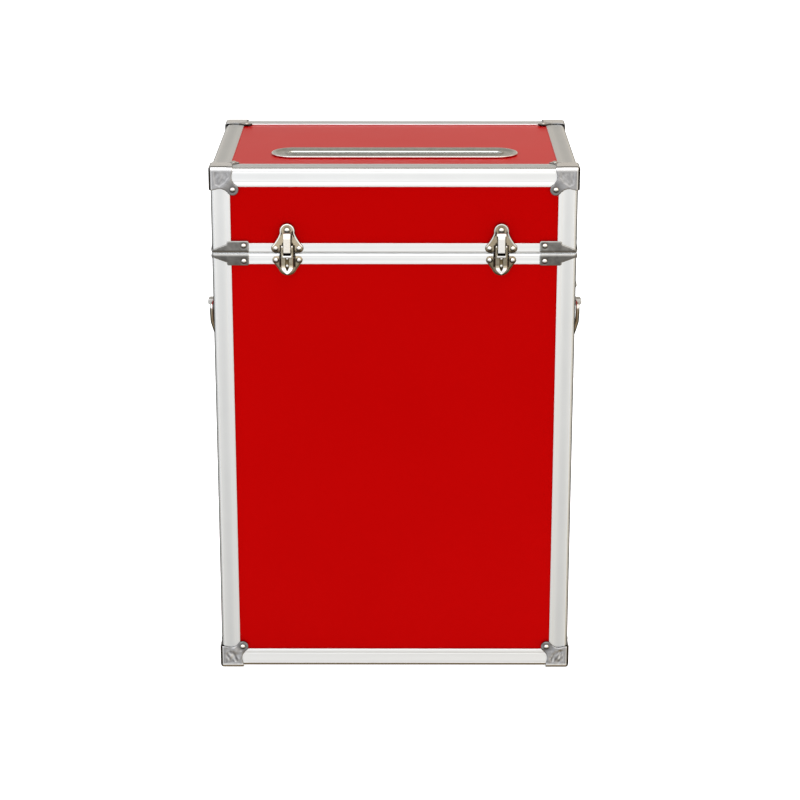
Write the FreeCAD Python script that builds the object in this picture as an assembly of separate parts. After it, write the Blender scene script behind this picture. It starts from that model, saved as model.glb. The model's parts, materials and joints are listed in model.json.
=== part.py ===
import FreeCAD, Part
import math
import os
from FreeCAD import Vector

os.makedirs("parts", exist_ok=True)

# Ballot box: red board panels in an aluminium frame, with a hinged lid, a slot plate in the lid's top,
# two sprung latches with key locks at the front, and a drop handle on each side.
# Millimetres. The front faces -Y, +Z is up, and the origin is the middle of the floor under the box.

# Overall sizes, over the frame
width = 340.0
depth = 230.0
body_height = 418.8
lid_height = 80.9
lid_gap = 0.3

# Edge extrusion: an outer and an inner angle with a channel for a panel in each leg
edge_leg = 18.0
leg_thickness = 1.2
inner_leg_width = 11.0
inner_leg_thickness = 1.0
web_thickness = 1.0
edge_round = 2.6
groove_width = 0.9
groove_depth = 0.25
groove_places = [0.3, 0.52, 0.74]

# Board panels
panel_thickness = 3.7
panel_play = 0.1

# Closing profiles that meet at the split
rim_height = 10.5
rim_web = 1.2
lip_height = 3.0
lip_thickness = 1.2
lip_play = 0.3
rim_groove_places = [0.34, 0.66]

# Stamped corner covers
cover_over = 3.0
cover_sheet = 1.0
cover_stand = 1.6
cover_round = 3.2
cover_dish_border = 2.0
cover_dish_depth = 0.5
ear_over = 2.6
ear_radius = 5.4
neck_share = 0.62

# Knee braces at the split
brace_over = 16.6
brace_sheet = 1.0
brace_gap = 0.5
brace_height = 11.0
brace_under = 4.0
brace_fold = 3.0
brace_chamfer = 1.2
brace_rivet_end = 4.8
brace_rivet_up = 7.2

# Rivets
rivet_shank = 1.5
rivet_head = 2.5
rivet_rise = 1.2
flat_rivet_rise = 0.5
rivet_tail = 2.2
rivet_tail_rise = 1.5
hole_play = 0.05

# Slot plate in the lid
slot_length = 203.0
slot_width = 11.0
slot_plate_length = 234.0
slot_plate_width = 42.0
slot_centre_y = -46.0
slot_sheet = 1.0
slot_bead_rise = 2.4
slot_bead_width = 5.0
slot_bead_inset = 1.2
slot_collar_wall = 1.2
slot_collar_rise = 2.0
slot_collar_below = 1.5
slot_cut_play = 0.2

# Latches: a strike with a barbed tongue on the lid, and a sprung lever on a base below it
latch_x = 99.6
latch_sheet = 0.9
latch_bead = 0.7
latch_bead_width = 1.0
strike_half_width = 7.4
strike_top = 28.7
strike_dome_half_width = 6.9
strike_dome_up = 19.7
strike_waist = 0.85
strike_notch = 1.0
strike_lobe_x = 10.7
strike_lobe_up = 5.0
strike_lobe_radius = 4.4
strike_rivet_up = 23.0
tongue_width = 6.7
tongue_sheet = 1.0
tongue_foot_width = 8.2
tongue_foot_height = 2.2
tongue_fold = 0.6
tongue_join = 2.0
tongue_foot_out = 6.1
tongue_top = 19.8
tongue_lever_gap = 1.3
tongue_bend_up = 15.0
tongue_bottom = 1.6
barb_height = 2.6
barb_depth = 1.0
base_half_width = 7.4
base_top = 1.2
base_lobe_x = 10.4
base_lobe_down = 6.2
base_lobe_radius = 3.7
base_foot_half_width = 8.2
base_foot_down = 15.2
base_bottom = 20.8
ear_wall = 1.0
ear_gap = 0.4
ear_top = 0.8
ear_end = 10.9
ear_under = 0.6
lever_half_width = 6.0
lever_sheet = 0.8
lever_out = 7.8
lever_top = 9.0
lever_point = 17.8
lever_shoulder = 10.4
lever_flare = 1.8
lever_lip = 0.5
lever_lip_height = 1.0
wall_gap = 0.6
pivot_out = 3.2
pivot_down = 3.5
pivot_pin_radius = 1.25
pivot_play = 0.05
pin_end = 0.3
window_half_width = 3.9
window_bottom = -0.8
window_top = 5.3
bar_height = 1.9
keyhole_width = 3.2
keyhole_length = 9.5
lock_down = 6.6
lock_radius = 4.9
lock_thickness = 0.7
lock_behind = 0.7
lock_play = 0.1
hub_radius = 1.6
hub_rise = 0.4
cam_play = 0.2
drive_pin_place = 3.6
drive_pin_radius = 1.15
cam_reach = 7.2
cam_half_width = 1.0
spring_wire = 0.7
spring_turns = 3
spring_play = 0.15
spring_turn_gap = 0.25
spring_foot_angle = -60.0
spring_foot_length = 2.7
spring_leg_up = 2.9
spring_bend = 0.6
spring_touch = 0.1

# Stop hinges at the back
hinge_x = 95.0
hinge_width = 60.0
hinge_leaf_height = 15.0
hinge_leaf_sheet = 1.4
knuckle_radius = 2.9
hinge_pin_radius = 1.5
hinge_pin_play = 0.05
knuckle_count = 5
knuckle_gap = 0.3
hinge_out = 3.4
stop_reach = 8.0
stop_sheet = 1.4
lid_opening = 100.0
hinge_rivet_up = 7.6
hinge_rivet_share = 0.36
knuckle_play = 0.3
stop_play = 0.1

# Side handles
handle_plate_length = 118.0
handle_plate_height = 48.0
handle_plate_sheet = 1.2
handle_pivot_height = 352.3
handle_plate_over = 5.0
handle_plate_round = 6.0
handle_rivet_end = 6.5
handle_rivet_drop = 5.0
handle_rivet_rise = 9.0
handle_pivot_out = 7.5
lug_out = 11.9
lug_width = 10.0
lug_height = 5.6
lug_place = 32.0
lug_round = 2.4
lug_play = 0.06
rod_radius = 2.0
bail_arm_place = 44.0
bail_bow_out = 7.6
bail_bow_down = 9.0
bail_knee_out = 7.2
bail_knee_down = 17.5
bail_grip_out = 2.7
bail_grip_down = 33.1
bail_rounds = [5.0, 14.0, 12.0, 9.0]
bail_trunnion_end = 25.0

# Places that follow from the sizes above
rail_bottom = cover_stand
split = rail_bottom + body_height
lid_split = split + lid_gap
rail_top = lid_split + lid_height
half_width = width / 2
half_depth = depth / 2
channel_end = leg_thickness + panel_thickness + 2 * panel_play
inner_face = channel_end + inner_leg_thickness
panel_inset = channel_end + web_thickness + panel_play
panel_out = leg_thickness + panel_play
panel_in = panel_out + panel_thickness
rim_slope = rim_height / edge_leg
lip_start = inner_face - inner_leg_thickness - lip_thickness
lid_web_up = lip_height + lip_play
hinge_pin_z = split + lid_gap / 2
handle_plate_out = handle_plate_sheet - panel_out
cover_size = edge_leg + cover_over
ear_centre = edge_leg + ear_over
brace_length = edge_leg + brace_over
brace_start = edge_leg - brace_under
tongue_out = lever_out + tongue_lever_gap + tongue_sheet
lock_out = lever_out - lever_sheet - lock_behind - lock_thickness

shapes = {}
holes = []


def block(low, high):
    """A box between two corners."""
    size = Vector(*high) - Vector(*low)
    return Part.makeBox(size.x, size.y, size.z, Vector(*low))


def rod(start, direction, length, radius):
    """A cylinder from a point along a direction."""
    return Part.makeCylinder(radius, length, Vector(*start), Vector(*direction))


def joined(parts):
    """One solid from overlapping or touching ones."""
    return parts[0].fuse(parts[1:]).removeSplitter()


def outline_face(points):
    """A flat face inside a closed outline. A point of six numbers is an arc's middle and its end."""
    edges = []
    last = Vector(*points[0][-3:])
    for point in points[1:] + points[:1]:
        end = Vector(*point[-3:])
        if len(point) == 6:
            edges.append(Part.Arc(last, Vector(*point[:3]), end).toShape())
        elif last.distanceToPoint(end) > 1e-7:
            edges.append(Part.makeLine(last, end))
        last = end
    return Part.Face(Part.Wire(edges))


def face_on(plane, points, level=0.0):
    """A face from two-number points, or four-number arcs, on the plane named xz, yz or xy at a level."""
    place = {
        "xz": lambda u, v: (u, level, v),
        "yz": lambda u, v: (level, u, v),
        "xy": lambda u, v: (u, v, level),
    }[plane]
    return outline_face([sum((place(*p[i:i + 2]) for i in range(0, len(p), 2)), ()) for p in points])


def mirrored(shape, axis):
    """The shape on the other side of the box's middle, across x or y."""
    normal = {"x": Vector(1, 0, 0), "y": Vector(0, 1, 0)}[axis]
    return shape.mirror(Vector(0, 0, 0), normal)


def upended(shape):
    """The shape turned over from the frame's bottom to its top."""
    return shape.mirror(Vector(0, 0, (rail_bottom + rail_top) / 2), Vector(0, 0, 1))


def at_corner(name, shape, corner):
    """A shape made for the front left corner, mirrored to the corner that the name gives."""
    if "right" in corner:
        shape = mirrored(shape, "x")
    if "back" in corner:
        shape = mirrored(shape, "y")
    shapes[name + "_" + corner] = shape


def tangent_path(points, radii):
    """A wire of straight runs through points, with an arc of the given radius at each inner point."""
    runs = []
    last = points[0]
    for i in range(1, len(points) - 1):
        before = (points[i - 1] - points[i]).normalize()
        after = (points[i + 1] - points[i]).normalize()
        half = before.getAngle(after) / 2
        cut = radii[i - 1] / math.tan(half)
        start = points[i] + before * cut
        end = points[i] + after * cut
        towards = (before + after).normalize()
        middle = points[i] + towards * (radii[i - 1] / math.sin(half) - radii[i - 1])
        runs.append(Part.makeLine(last, start))
        runs.append(Part.Arc(start, middle, end).toShape())
        last = end
    runs.append(Part.makeLine(last, points[-1]))
    return Part.Wire(runs)


corners = ["front_left", "front_right", "back_left", "back_right"]


# Edge extrusions

def leg_points():
    """One leg's outer face, from the round to the leg's end, with its fine grooves."""
    points = [(edge_round, 0.0)]
    for share in groove_places:
        middle = edge_leg * share
        points += [(middle - groove_width / 2, 0.0), (middle, groove_depth), (middle + groove_width / 2, 0.0)]
    return points + [(edge_leg, 0.0)]


def edge_outline():
    """The extrusion's section, with a and b measured inwards from its two outer faces."""
    leg = leg_points()
    channel = channel_end + web_thickness
    inside = [
        (edge_leg, leg_thickness),
        (channel, leg_thickness),
        (channel, channel_end),
        (inner_leg_width, channel_end),
        (inner_leg_width, inner_face),
        (inner_face, inner_face),
    ]
    turned = [(b, a) for a, b in reversed(inside[:-1])]
    round_middle = edge_round * (1 - math.sqrt(0.5))
    back = [(b, a) for a, b in reversed(leg)]
    return leg + inside + turned + back, round_middle


def edge_length(plane, place, start, length):
    """A straight length of the extrusion. place turns a and b into the two coordinates of the plane."""
    points, middle = edge_outline()
    outer = [place(*p) for p in points]
    outer[0] = place(middle, middle) + outer[0]
    hollow = [(leg_thickness, leg_thickness), (channel_end, leg_thickness)]
    hollow += [(channel_end, channel_end), (leg_thickness, channel_end)]
    face = face_on(plane, outer, start).cut(face_on(plane, [place(*p) for p in hollow], start))
    along = {"xy": Vector(0, 0, length), "yz": Vector(length, 0, 0), "xz": Vector(0, length, 0)}[plane]
    return face.extrude(along)


def between_mitres(shape, plane, points, reach):
    """The part of a length that lies inside a mitred outline, seen square to the plane."""
    across = {"xz": Vector(0, 1, 0), "yz": Vector(1, 0, 0), "xy": Vector(0, 0, 1)}
    along = across[plane] * 2 * reach
    face = face_on(plane, points)
    face.translate(along * -0.5)
    return shape.common(face.extrude(along))


def long_edge(half, z_low, leg):
    """Corner points of a trapezium whose ends slope in at the mitre."""
    return [(-half, z_low), (half, z_low), (half - leg, z_low + leg), (leg - half, z_low + leg)]


def bottom_edge_front():
    shape = edge_length(
        "yz", lambda a, b: (a - half_depth, b + rail_bottom), -half_width, width
    )
    shape = between_mitres(shape, "xz", long_edge(half_width, rail_bottom, edge_leg), depth)
    return between_mitres(shape, "xy", long_edge(half_width, -half_depth, edge_leg), rail_top)


def bottom_edge_left():
    shape = edge_length(
        "xz", lambda a, b: (a - half_width, b + rail_bottom), -half_depth, depth
    )
    turned = [(y, x) for x, y in long_edge(half_depth, -half_width, edge_leg)]
    shape = between_mitres(shape, "yz", long_edge(half_depth, rail_bottom, edge_leg), width)
    return between_mitres(shape, "xy", turned, rail_top)


def post(low, low_slope, high, high_slope):
    """A front left post between two heights, cut at each end to meet the lengths that turn the corner."""
    shape = edge_length("xy", lambda a, b: (a - half_width, b - half_depth), low, high - low)
    low_cut = low + edge_leg * low_slope
    high_cut = high - edge_leg * high_slope
    for plane, half in (("xz", half_width), ("yz", half_depth)):
        points = [(-half, low), (edge_leg - half, low_cut), (edge_leg - half, high_cut), (-half, high)]
        shape = between_mitres(shape, plane, points, width + depth)
    return shape


edges = {"front": bottom_edge_front(), "left": bottom_edge_left()}
edges["back"] = mirrored(edges["front"], "y")
edges["right"] = mirrored(edges["left"], "x")
for side, edge in edges.items():
    shapes["bottom_edge_" + side] = edge
    shapes["top_edge_" + side] = upended(edge)
for corner in corners:
    at_corner("body_post", post(rail_bottom, 1.0, split, rim_slope), corner)
    at_corner("lid_post", post(lid_split, rim_slope, rail_top, 1.0), corner)


# Closing profiles

def rim_face_points(base, sign):
    """The outer face of a closing profile, from the split to its far edge, with its fine grooves."""
    points = [(0.0, base)]
    for share in rim_groove_places:
        middle = base + sign * rim_height * share
        points += [
            (0.0, middle - sign * groove_width / 2),
            (groove_depth, middle),
            (0.0, middle + sign * groove_width / 2),
        ]
    return points + [(0.0, base + sign * rim_height)]


def body_rim_section():
    """Section of the body's closing profile: b inwards, z up. A lip on it stands up inside the lid's."""
    far = split - rim_height
    web = split - rim_web
    points = rim_face_points(split, -1)
    points += [(leg_thickness, far), (leg_thickness, web), (channel_end, web), (channel_end, far)]
    points += [(inner_face, far), (inner_face, split), (lip_start + lip_thickness, split)]
    points += [(lip_start + lip_thickness, split + lip_height), (lip_start, split + lip_height)]
    return points + [(lip_start, split)]


def lid_rim_section():
    """Section of the lid's closing profile, stepped up on the inside to clear the body's lip."""
    far = lid_split + rim_height
    step = split + lid_web_up
    wall = lip_start - lip_play
    points = rim_face_points(lid_split, 1)
    points += [(leg_thickness, far), (leg_thickness, step + rim_web), (channel_end, step + rim_web)]
    points += [(channel_end, far), (inner_face, far), (inner_face, step), (wall, step)]
    return points + [(wall, lid_split)]


def rim_lengths(section, base, sign):
    """Four mitred lengths of a closing profile, whose ends also slope to meet the posts. What reaches past
    the base, such as the body's lip, stops short of the posts."""
    end = base + sign * rim_height
    front = face_on("yz", [(b - half_depth, z) for b, z in section], -half_width)
    front = front.extrude(Vector(width, 0, 0))
    left = face_on("xz", [(b - half_width, z) for b, z in section], -half_depth)
    left = left.extrude(Vector(0, depth, 0))
    beyond = base - sign * 2 * lip_height
    lengths = []
    runs = [(front, half_width, half_depth, False), (left, half_depth, half_width, True)]
    for shape, half, across, flip in runs:
        plan = long_edge(half, -across, edge_leg)
        if flip:
            plan = [(y, x) for x, y in plan]
        shape = between_mitres(shape, "xy", plan, rail_top)
        inside = half - inner_leg_width
        rise = [(-half, base), (-inside, base), (-inside, beyond), (inside, beyond), (inside, base)]
        rise += [(half, base), (half - edge_leg, end), (edge_leg - half, end)]
        shape = between_mitres(shape, "yz" if flip else "xz", rise, width)
        lengths += [shape, mirrored(shape, "x" if flip else "y")]
    return Part.makeCompound(lengths)


shapes["body_rim"] = rim_lengths(body_rim_section(), split, -1)
shapes["lid_rim"] = rim_lengths(lid_rim_section(), lid_split, 1)


# Panels

body_panel_low = rail_bottom + panel_inset
body_panel_high = split - rim_web - panel_play
lid_panel_low = split + lid_web_up + rim_web + panel_play
lid_panel_high = rail_top - panel_inset


def wall_panels(group, low, high):
    """The four upright panels of the body or the lid, between two heights."""
    x = half_width - panel_inset
    y = half_depth - panel_inset
    shapes[group + "_front_panel"] = block(
        (-x, panel_out - half_depth, low), (x, panel_in - half_depth, high)
    )
    shapes[group + "_left_panel"] = block(
        (panel_out - half_width, -y, low), (panel_in - half_width, y, high)
    )
    shapes[group + "_back_panel"] = mirrored(shapes[group + "_front_panel"], "y")
    shapes[group + "_right_panel"] = mirrored(shapes[group + "_left_panel"], "x")


def flat_panel():
    x = half_width - panel_inset
    y = half_depth - panel_inset
    return block((-x, -y, rail_bottom + panel_out), (x, y, rail_bottom + panel_in))


wall_panels("body", body_panel_low, body_panel_high)
wall_panels("lid", lid_panel_low, lid_panel_high)
shapes["body_bottom_panel"] = flat_panel()
shapes["lid_top_panel"] = upended(flat_panel())


# Rivets

def rivet(seat, inwards, grip, rise=rivet_rise):
    """A rivet with its head on a seat, a shank as long as its grip, and a tail set on the inside."""
    profile = [(0, -rise, 0), (rivet_head * 0.72, -rise * 0.72, 0, rivet_head, 0, 0)]
    if rise == flat_rivet_rise:
        profile = [(0, -rise, 0), (rivet_head * 0.8, -rise, 0), (rivet_head, 0, 0)]
    profile += [(rivet_shank, 0, 0), (rivet_shank, grip, 0), (rivet_tail, grip, 0)]
    profile += [(rivet_tail, grip + rivet_tail_rise * 0.6, 0)]
    profile += [(rivet_tail * 0.6, grip + rivet_tail_rise, 0), (0, grip + rivet_tail_rise, 0)]
    solid = outline_face(profile).revolve(Vector(0, 0, 0), Vector(0, 1, 0), 360)
    solid.Placement = FreeCAD.Placement(Vector(*seat), FreeCAD.Rotation(Vector(0, 1, 0), Vector(*inwards)))
    length = grip + rise
    start = Vector(*seat) - Vector(*inwards) * rise
    hole = Part.makeCylinder(rivet_shank + hole_play, length, start, Vector(*inwards))
    return solid, hole


rivets = {"body": [], "lid": []}


def set_rivet(body, seat, inwards, grip, rise=rivet_rise):
    """Adds a rivet to a body, and its hole to the list that is drilled at the end."""
    solid, hole = rivet(seat, inwards, grip, rise)
    rivets[body].append(solid)
    holes.append((body, hole))


def set_corner_rivet(body, seat, inwards, grip, rise=rivet_rise):
    """The same rivet at all four corners of the box."""
    for flip_x in (1, -1):
        for flip_y in (1, -1):
            set_rivet(
                body,
                (seat[0] * flip_x, seat[1] * flip_y, seat[2]),
                (inwards[0] * flip_x, inwards[1] * flip_y, inwards[2]),
                grip,
                rise,
            )


# Corner covers

def ear_outline():
    """One face of a cover, with u and v measured from the corner: a square with its far corner drawn
    out into a round ear, between two hollow necks."""
    reach = ear_centre + ear_radius
    cosine = math.sqrt(0.5)
    tip = ear_centre + ear_radius * cosine
    neck_start = cover_size * 0.36
    neck = (cover_size - 0.2, cover_size * neck_share)
    return [
        (0.0, 0.0),
        (cover_size, 0.0),
        (cover_size - 0.7, neck_start),
        neck + (reach - 0.6, ear_centre - ear_radius * 0.45),
        (tip, tip, ear_centre - ear_radius * 0.45, reach - 0.6),
        (neck[1], neck[0], neck_start, cover_size - 0.7),
        (0.0, cover_size),
    ]


def corner_cover():
    """A three-faced cover for the front left bottom corner: a square dome over the edges and an ear on
    each face."""
    ears = []
    for plane, extrude in (("xz", Vector(0, -1, 0)), ("yz", Vector(-1, 0, 0)), ("xy", Vector(0, 0, -1))):
        ears.append(face_on(plane, ear_outline()).extrude(extrude * cover_sheet))
    dome = block((-cover_stand,) * 3, (cover_size - cover_dish_border,) * 3)
    outer_edges = [
        e for e in dome.Edges
        if sum(abs(getattr(e.CenterOfMass, axis) + cover_stand) < 1e-6 for axis in "xyz") == 2
    ]
    dome = dome.makeFillet(cover_round, outer_edges)
    dome = dome.cut(block((0, 0, 0), (cover_size,) * 3))
    for axis in range(3):
        low = [cover_dish_border + cover_round - cover_stand] * 3
        high = [cover_size - 2 * cover_dish_border] * 3
        low[axis], high[axis] = -2 * cover_stand, cover_dish_depth - cover_stand
        dome = dome.cut(block(low, high))
    folds = block((-cover_sheet,) * 3, (cover_size,) * 3).cut(block((0, 0, 0), (cover_size,) * 3))
    strips = []
    for axis in range(3):
        low = [-cover_sheet] * 3
        high = [0.0] * 3
        high[axis] = cover_size
        strips.append(folds.common(block(low, high)))
    cover = joined([dome] + ears + strips)
    cover.translate(Vector(-half_width, -half_depth, rail_bottom))
    return cover


cover = corner_cover()
for corner in corners:
    at_corner("bottom_corner", cover, corner)
    at_corner("top_corner", upended(cover), corner)
cover_grip = cover_sheet + panel_in
for body, flip, level in (("body", 1, rail_bottom), ("lid", -1, rail_top)):
    z = level + flip * ear_centre
    x = ear_centre - half_width
    y = ear_centre - half_depth
    set_corner_rivet(body, (x, -half_depth - cover_sheet, z), (0, 1, 0), cover_grip)
    set_corner_rivet(body, (-half_width - cover_sheet, y, z), (1, 0, 0), cover_grip)
    rise = flat_rivet_rise if body == "body" else rivet_rise
    set_corner_rivet(body, (x, y, level - flip * cover_sheet), (0, 0, flip), cover_grip, rise)


# Knee braces

def brace_outline(base, sign):
    """One face of a brace: a plate along the rim, with a gusset that tapers over the mitre to the corner."""
    near = base + sign * brace_gap
    far = near + sign * brace_height
    return [
        (0.0, near),
        (brace_length, near),
        (brace_length, far - sign * brace_chamfer),
        (brace_length - brace_chamfer, far),
        (brace_start + brace_chamfer, far),
        (brace_start, far - sign * brace_chamfer),
        (brace_start, far - sign * 2 * brace_chamfer),
        (0.0, near + sign * brace_fold),
    ]


def knee_braces(base, sign):
    """Four braces, each bent round an upright edge."""
    points = brace_outline(base, sign)
    near = base + sign * brace_gap
    far = near + sign * brace_fold
    front = face_on("xz", [(u - half_width, v) for u, v in points], -half_depth)
    side = face_on("yz", [(u - half_depth, v) for u, v in points], -half_width)
    fold = rod((brace_sheet - half_width, brace_sheet - half_depth, min(near, far)), (0, 0, 1), brace_fold,
               2 * brace_sheet)
    fold = fold.common(block((-half_width - brace_sheet, -half_depth - brace_sheet, min(near, far)),
                             (-half_width, -half_depth, max(near, far))))
    fold = fold.fuse([
        block((-half_width - brace_sheet, -half_depth, min(near, far)),
              (-half_width, brace_sheet - half_depth, max(near, far))),
        block((-half_width, -half_depth - brace_sheet, min(near, far)),
              (brace_sheet - half_width, -half_depth, max(near, far))),
    ])
    brace = joined([
        front.extrude(Vector(0, -brace_sheet, 0)),
        side.extrude(Vector(-brace_sheet, 0, 0)),
        fold,
    ])
    across = [brace, mirrored(brace, "x")]
    return Part.makeCompound(across + [mirrored(b, "y") for b in across])


shapes["body_knee_braces"] = knee_braces(split, -1)
shapes["lid_knee_braces"] = knee_braces(lid_split, 1)
for body, base, sign in (("body", split, -1), ("lid", lid_split, 1)):
    z = base + sign * brace_rivet_up
    grip = brace_sheet + inner_face
    along = brace_length - brace_rivet_end
    set_corner_rivet(body, (along - half_width, -half_depth - brace_sheet, z), (0, 1, 0), grip)
    set_corner_rivet(body, (-half_width - brace_sheet, along - half_depth, z), (1, 0, 0), grip)


# Slot plate

def stadium(length, across, low, high):
    """An upright prism with round ends, about the slot's middle."""
    straight = (length - across) / 2
    radius = across / 2
    points = [
        (-straight, -radius),
        (straight, -radius),
        (straight + radius, 0.0, straight, radius),
        (-straight, radius),
    ]
    points[0] = (-straight - radius, 0.0) + points[0]
    face = face_on("xy", points, low)
    face.translate(Vector(0, slot_centre_y, 0))
    return face.extrude(Vector(0, 0, high - low))


def slot_ring(length, across, wall, low, high):
    """A stadium prism with a smaller one taken out."""
    inner = stadium(length - 2 * wall, across - 2 * wall, low - 1, high + 1)
    return stadium(length, across, low, high).cut(inner)


lid_panel_top = rail_top - panel_out
lid_panel_under = rail_top - panel_in
collar_length = slot_length + 2 * slot_collar_wall
collar_width = slot_width + 2 * slot_collar_wall
bead = slot_ring(
    slot_plate_length - 2 * slot_bead_inset,
    slot_plate_width - 2 * slot_bead_inset,
    slot_bead_width,
    lid_panel_top + slot_sheet / 2,
    lid_panel_top + slot_bead_rise,
)
bead_level = lid_panel_top + slot_bead_rise
bead_top = [e for e in bead.Edges if abs(e.BoundBox.ZMin - bead_level) < 1e-6]
bead = bead.makeFillet(slot_bead_rise * 0.45, bead_top)
plate = stadium(slot_plate_length, slot_plate_width, lid_panel_top, lid_panel_top + slot_sheet)
plate = plate.cut(stadium(slot_length, slot_width, lid_panel_top - 1, rail_top + 10))
collar = slot_ring(
    collar_length,
    collar_width,
    slot_collar_wall,
    lid_panel_under - slot_collar_below,
    lid_panel_top + slot_collar_rise,
)
shapes["slot_plate"] = joined([plate, bead, collar])
shapes["lid_top_panel"] = shapes["lid_top_panel"].cut(
    stadium(
        collar_length + 2 * slot_cut_play,
        collar_width + 2 * slot_cut_play,
        lid_panel_under - 1,
        lid_panel_top + 1,
    )
)


# Latches, each made about its own middle line and then set at latch_x. out is measured from the frame's
# face, and up from the split.

def latch_block(low, high):
    """A box in a latch's own measures: across, out, up."""
    return block(
        (low[0], -half_depth - high[1], split + low[2]),
        (high[0], -half_depth - low[1], split + high[2]),
    )


def latch_face(points, out):
    """A face in a plane parallel to the front, in a latch's own measures: across, up."""
    places = [tuple(c + (split if i % 2 else 0.0) for i, c in enumerate(p)) for p in points]
    return face_on("xz", places, -half_depth - out)


def latch_side(points, low, high):
    """A prism across a latch from a side outline: out, up."""
    places = [tuple(split + c if i % 2 else -half_depth - c for i, c in enumerate(p)) for p in points]
    return face_on("yz", places, low).extrude(Vector(high - low, 0, 0))


def beaded_plate(points):
    """A sheet with a raised border that follows its outline."""
    outer = latch_face(points, 0.0)
    inner = outer.makeOffset2D(-latch_bead_width)
    sheet = outer.extrude(Vector(0, -latch_sheet, 0))
    border = outer.cut(inner).extrude(Vector(0, -latch_sheet - latch_bead, 0))
    return joined([sheet, border])


def both_sides(points):
    """A right-hand outline from top to bottom, closed with its mirror image on the left."""
    ends = [p[-2:] for p in points]
    back = [(-ends[-1][0], ends[-1][1])] if ends[-1][0] else []
    for i in range(len(points) - 1, 0, -1):
        here = (-ends[i - 1][0], ends[i - 1][1])
        if len(points[i]) == 4:
            here = (-points[i][0], points[i][1]) + here
        back.append(here)
    return points + back


def around(across, up, radius, degrees):
    """A point on a circle, from its middle, radius and angle."""
    angle = math.radians(degrees)
    return (across + radius * math.cos(angle), up + radius * math.sin(angle))


def pin_bore(play):
    """The hole for a lever's pin, longer than the latch is wide."""
    reach = 2 * strike_lobe_x
    return rod(
        (-reach, -half_depth - pivot_out, split - pivot_down), (1, 0, 0), 2 * reach, pivot_pin_radius + play
    )


def strike():
    """The lid's plate, bell-shaped, with a shelf from which a barbed tongue hangs down over the split."""
    lobe_low = strike_lobe_up - strike_lobe_radius
    dome_side = (strike_dome_half_width, strike_dome_up)
    dome_middle = (0.81 * strike_dome_half_width, 0.32 * strike_dome_up + 0.68 * strike_top)
    lobe_start = around(strike_lobe_x, strike_lobe_up, strike_lobe_radius, 38)
    waist = ((dome_side[0] + lobe_start[0]) / 2 - strike_waist, (dome_side[1] + lobe_start[1]) / 2)
    plate = beaded_plate(both_sides([
        (0.0, strike_top),
        dome_middle + dome_side,
        waist + lobe_start,
        around(strike_lobe_x, strike_lobe_up, strike_lobe_radius, -26) + (strike_lobe_x, lobe_low),
        (strike_half_width, lobe_low),
        (strike_half_width, lobe_low + strike_notch),
    ]))
    inner = tongue_out - tongue_sheet
    barb = inner - barb_depth
    foot = tongue_top - tongue_foot_height
    tongue = latch_side(
        [
            (tongue_out - tongue_join, tongue_bend_up + tongue_fold / 2),
            (tongue_out, tongue_bend_up),
            (tongue_out, tongue_bottom),
            (barb, tongue_bottom),
            (barb, tongue_bottom + barb_height * 0.7),
            (inner, tongue_bottom + barb_height),
            (inner, tongue_bend_up - tongue_fold),
        ],
        -tongue_width / 2,
        tongue_width / 2,
    )
    shelf = latch_side(
        [
            (latch_sheet / 2, tongue_top),
            (tongue_foot_out, tongue_top),
            (tongue_out, tongue_bend_up),
            (inner, tongue_bend_up - tongue_fold),
            (tongue_foot_out, foot),
            (latch_sheet / 2, foot),
        ],
        -tongue_foot_width / 2,
        tongue_foot_width / 2,
    )
    return joined([plate, tongue, shelf])


def base():
    """The body's plate, with two ears that carry the lever's pin."""
    lobe_high = base_lobe_radius - base_lobe_down
    foot_middle = (0.56 * base_foot_half_width, 0.2 * -base_foot_down + 0.8 * -base_bottom)
    plate = beaded_plate(both_sides([
        (0.0, -base_top),
        (base_half_width, -base_top),
        (base_half_width, lobe_high),
        (base_lobe_x, lobe_high),
        (base_lobe_x + base_lobe_radius, -base_lobe_down)
        + around(base_lobe_x, -base_lobe_down, base_lobe_radius, -52),
        (base_foot_half_width, -base_foot_down),
        foot_middle + (0.0, -base_bottom),
    ]))
    ear_out = lever_out - ear_under
    ear_points = [
        (latch_sheet / 2, -ear_end),
        (ear_out, ear_wall - ear_end),
        (ear_out, -pivot_down),
        (ear_out - pivot_play - pivot_pin_radius, -ear_top),
        (latch_sheet / 2, -ear_top),
    ]
    near = lever_half_width + ear_gap
    ears = [latch_side(ear_points, low, low + ear_wall) for low in (near, -near - ear_wall)]
    lock_front = lock_out + lock_thickness
    window = latch_block(
        (near - ear_gap / 2, lock_out - 4 * cam_play, -lock_down - cam_reach),
        (near + ear_wall + ear_gap, lock_front + cam_play, -lock_down + cam_half_width + 2 * cam_play),
    )
    return joined([plate] + ears).cut(pin_bore(pivot_play / 2)).cut(window)


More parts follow.
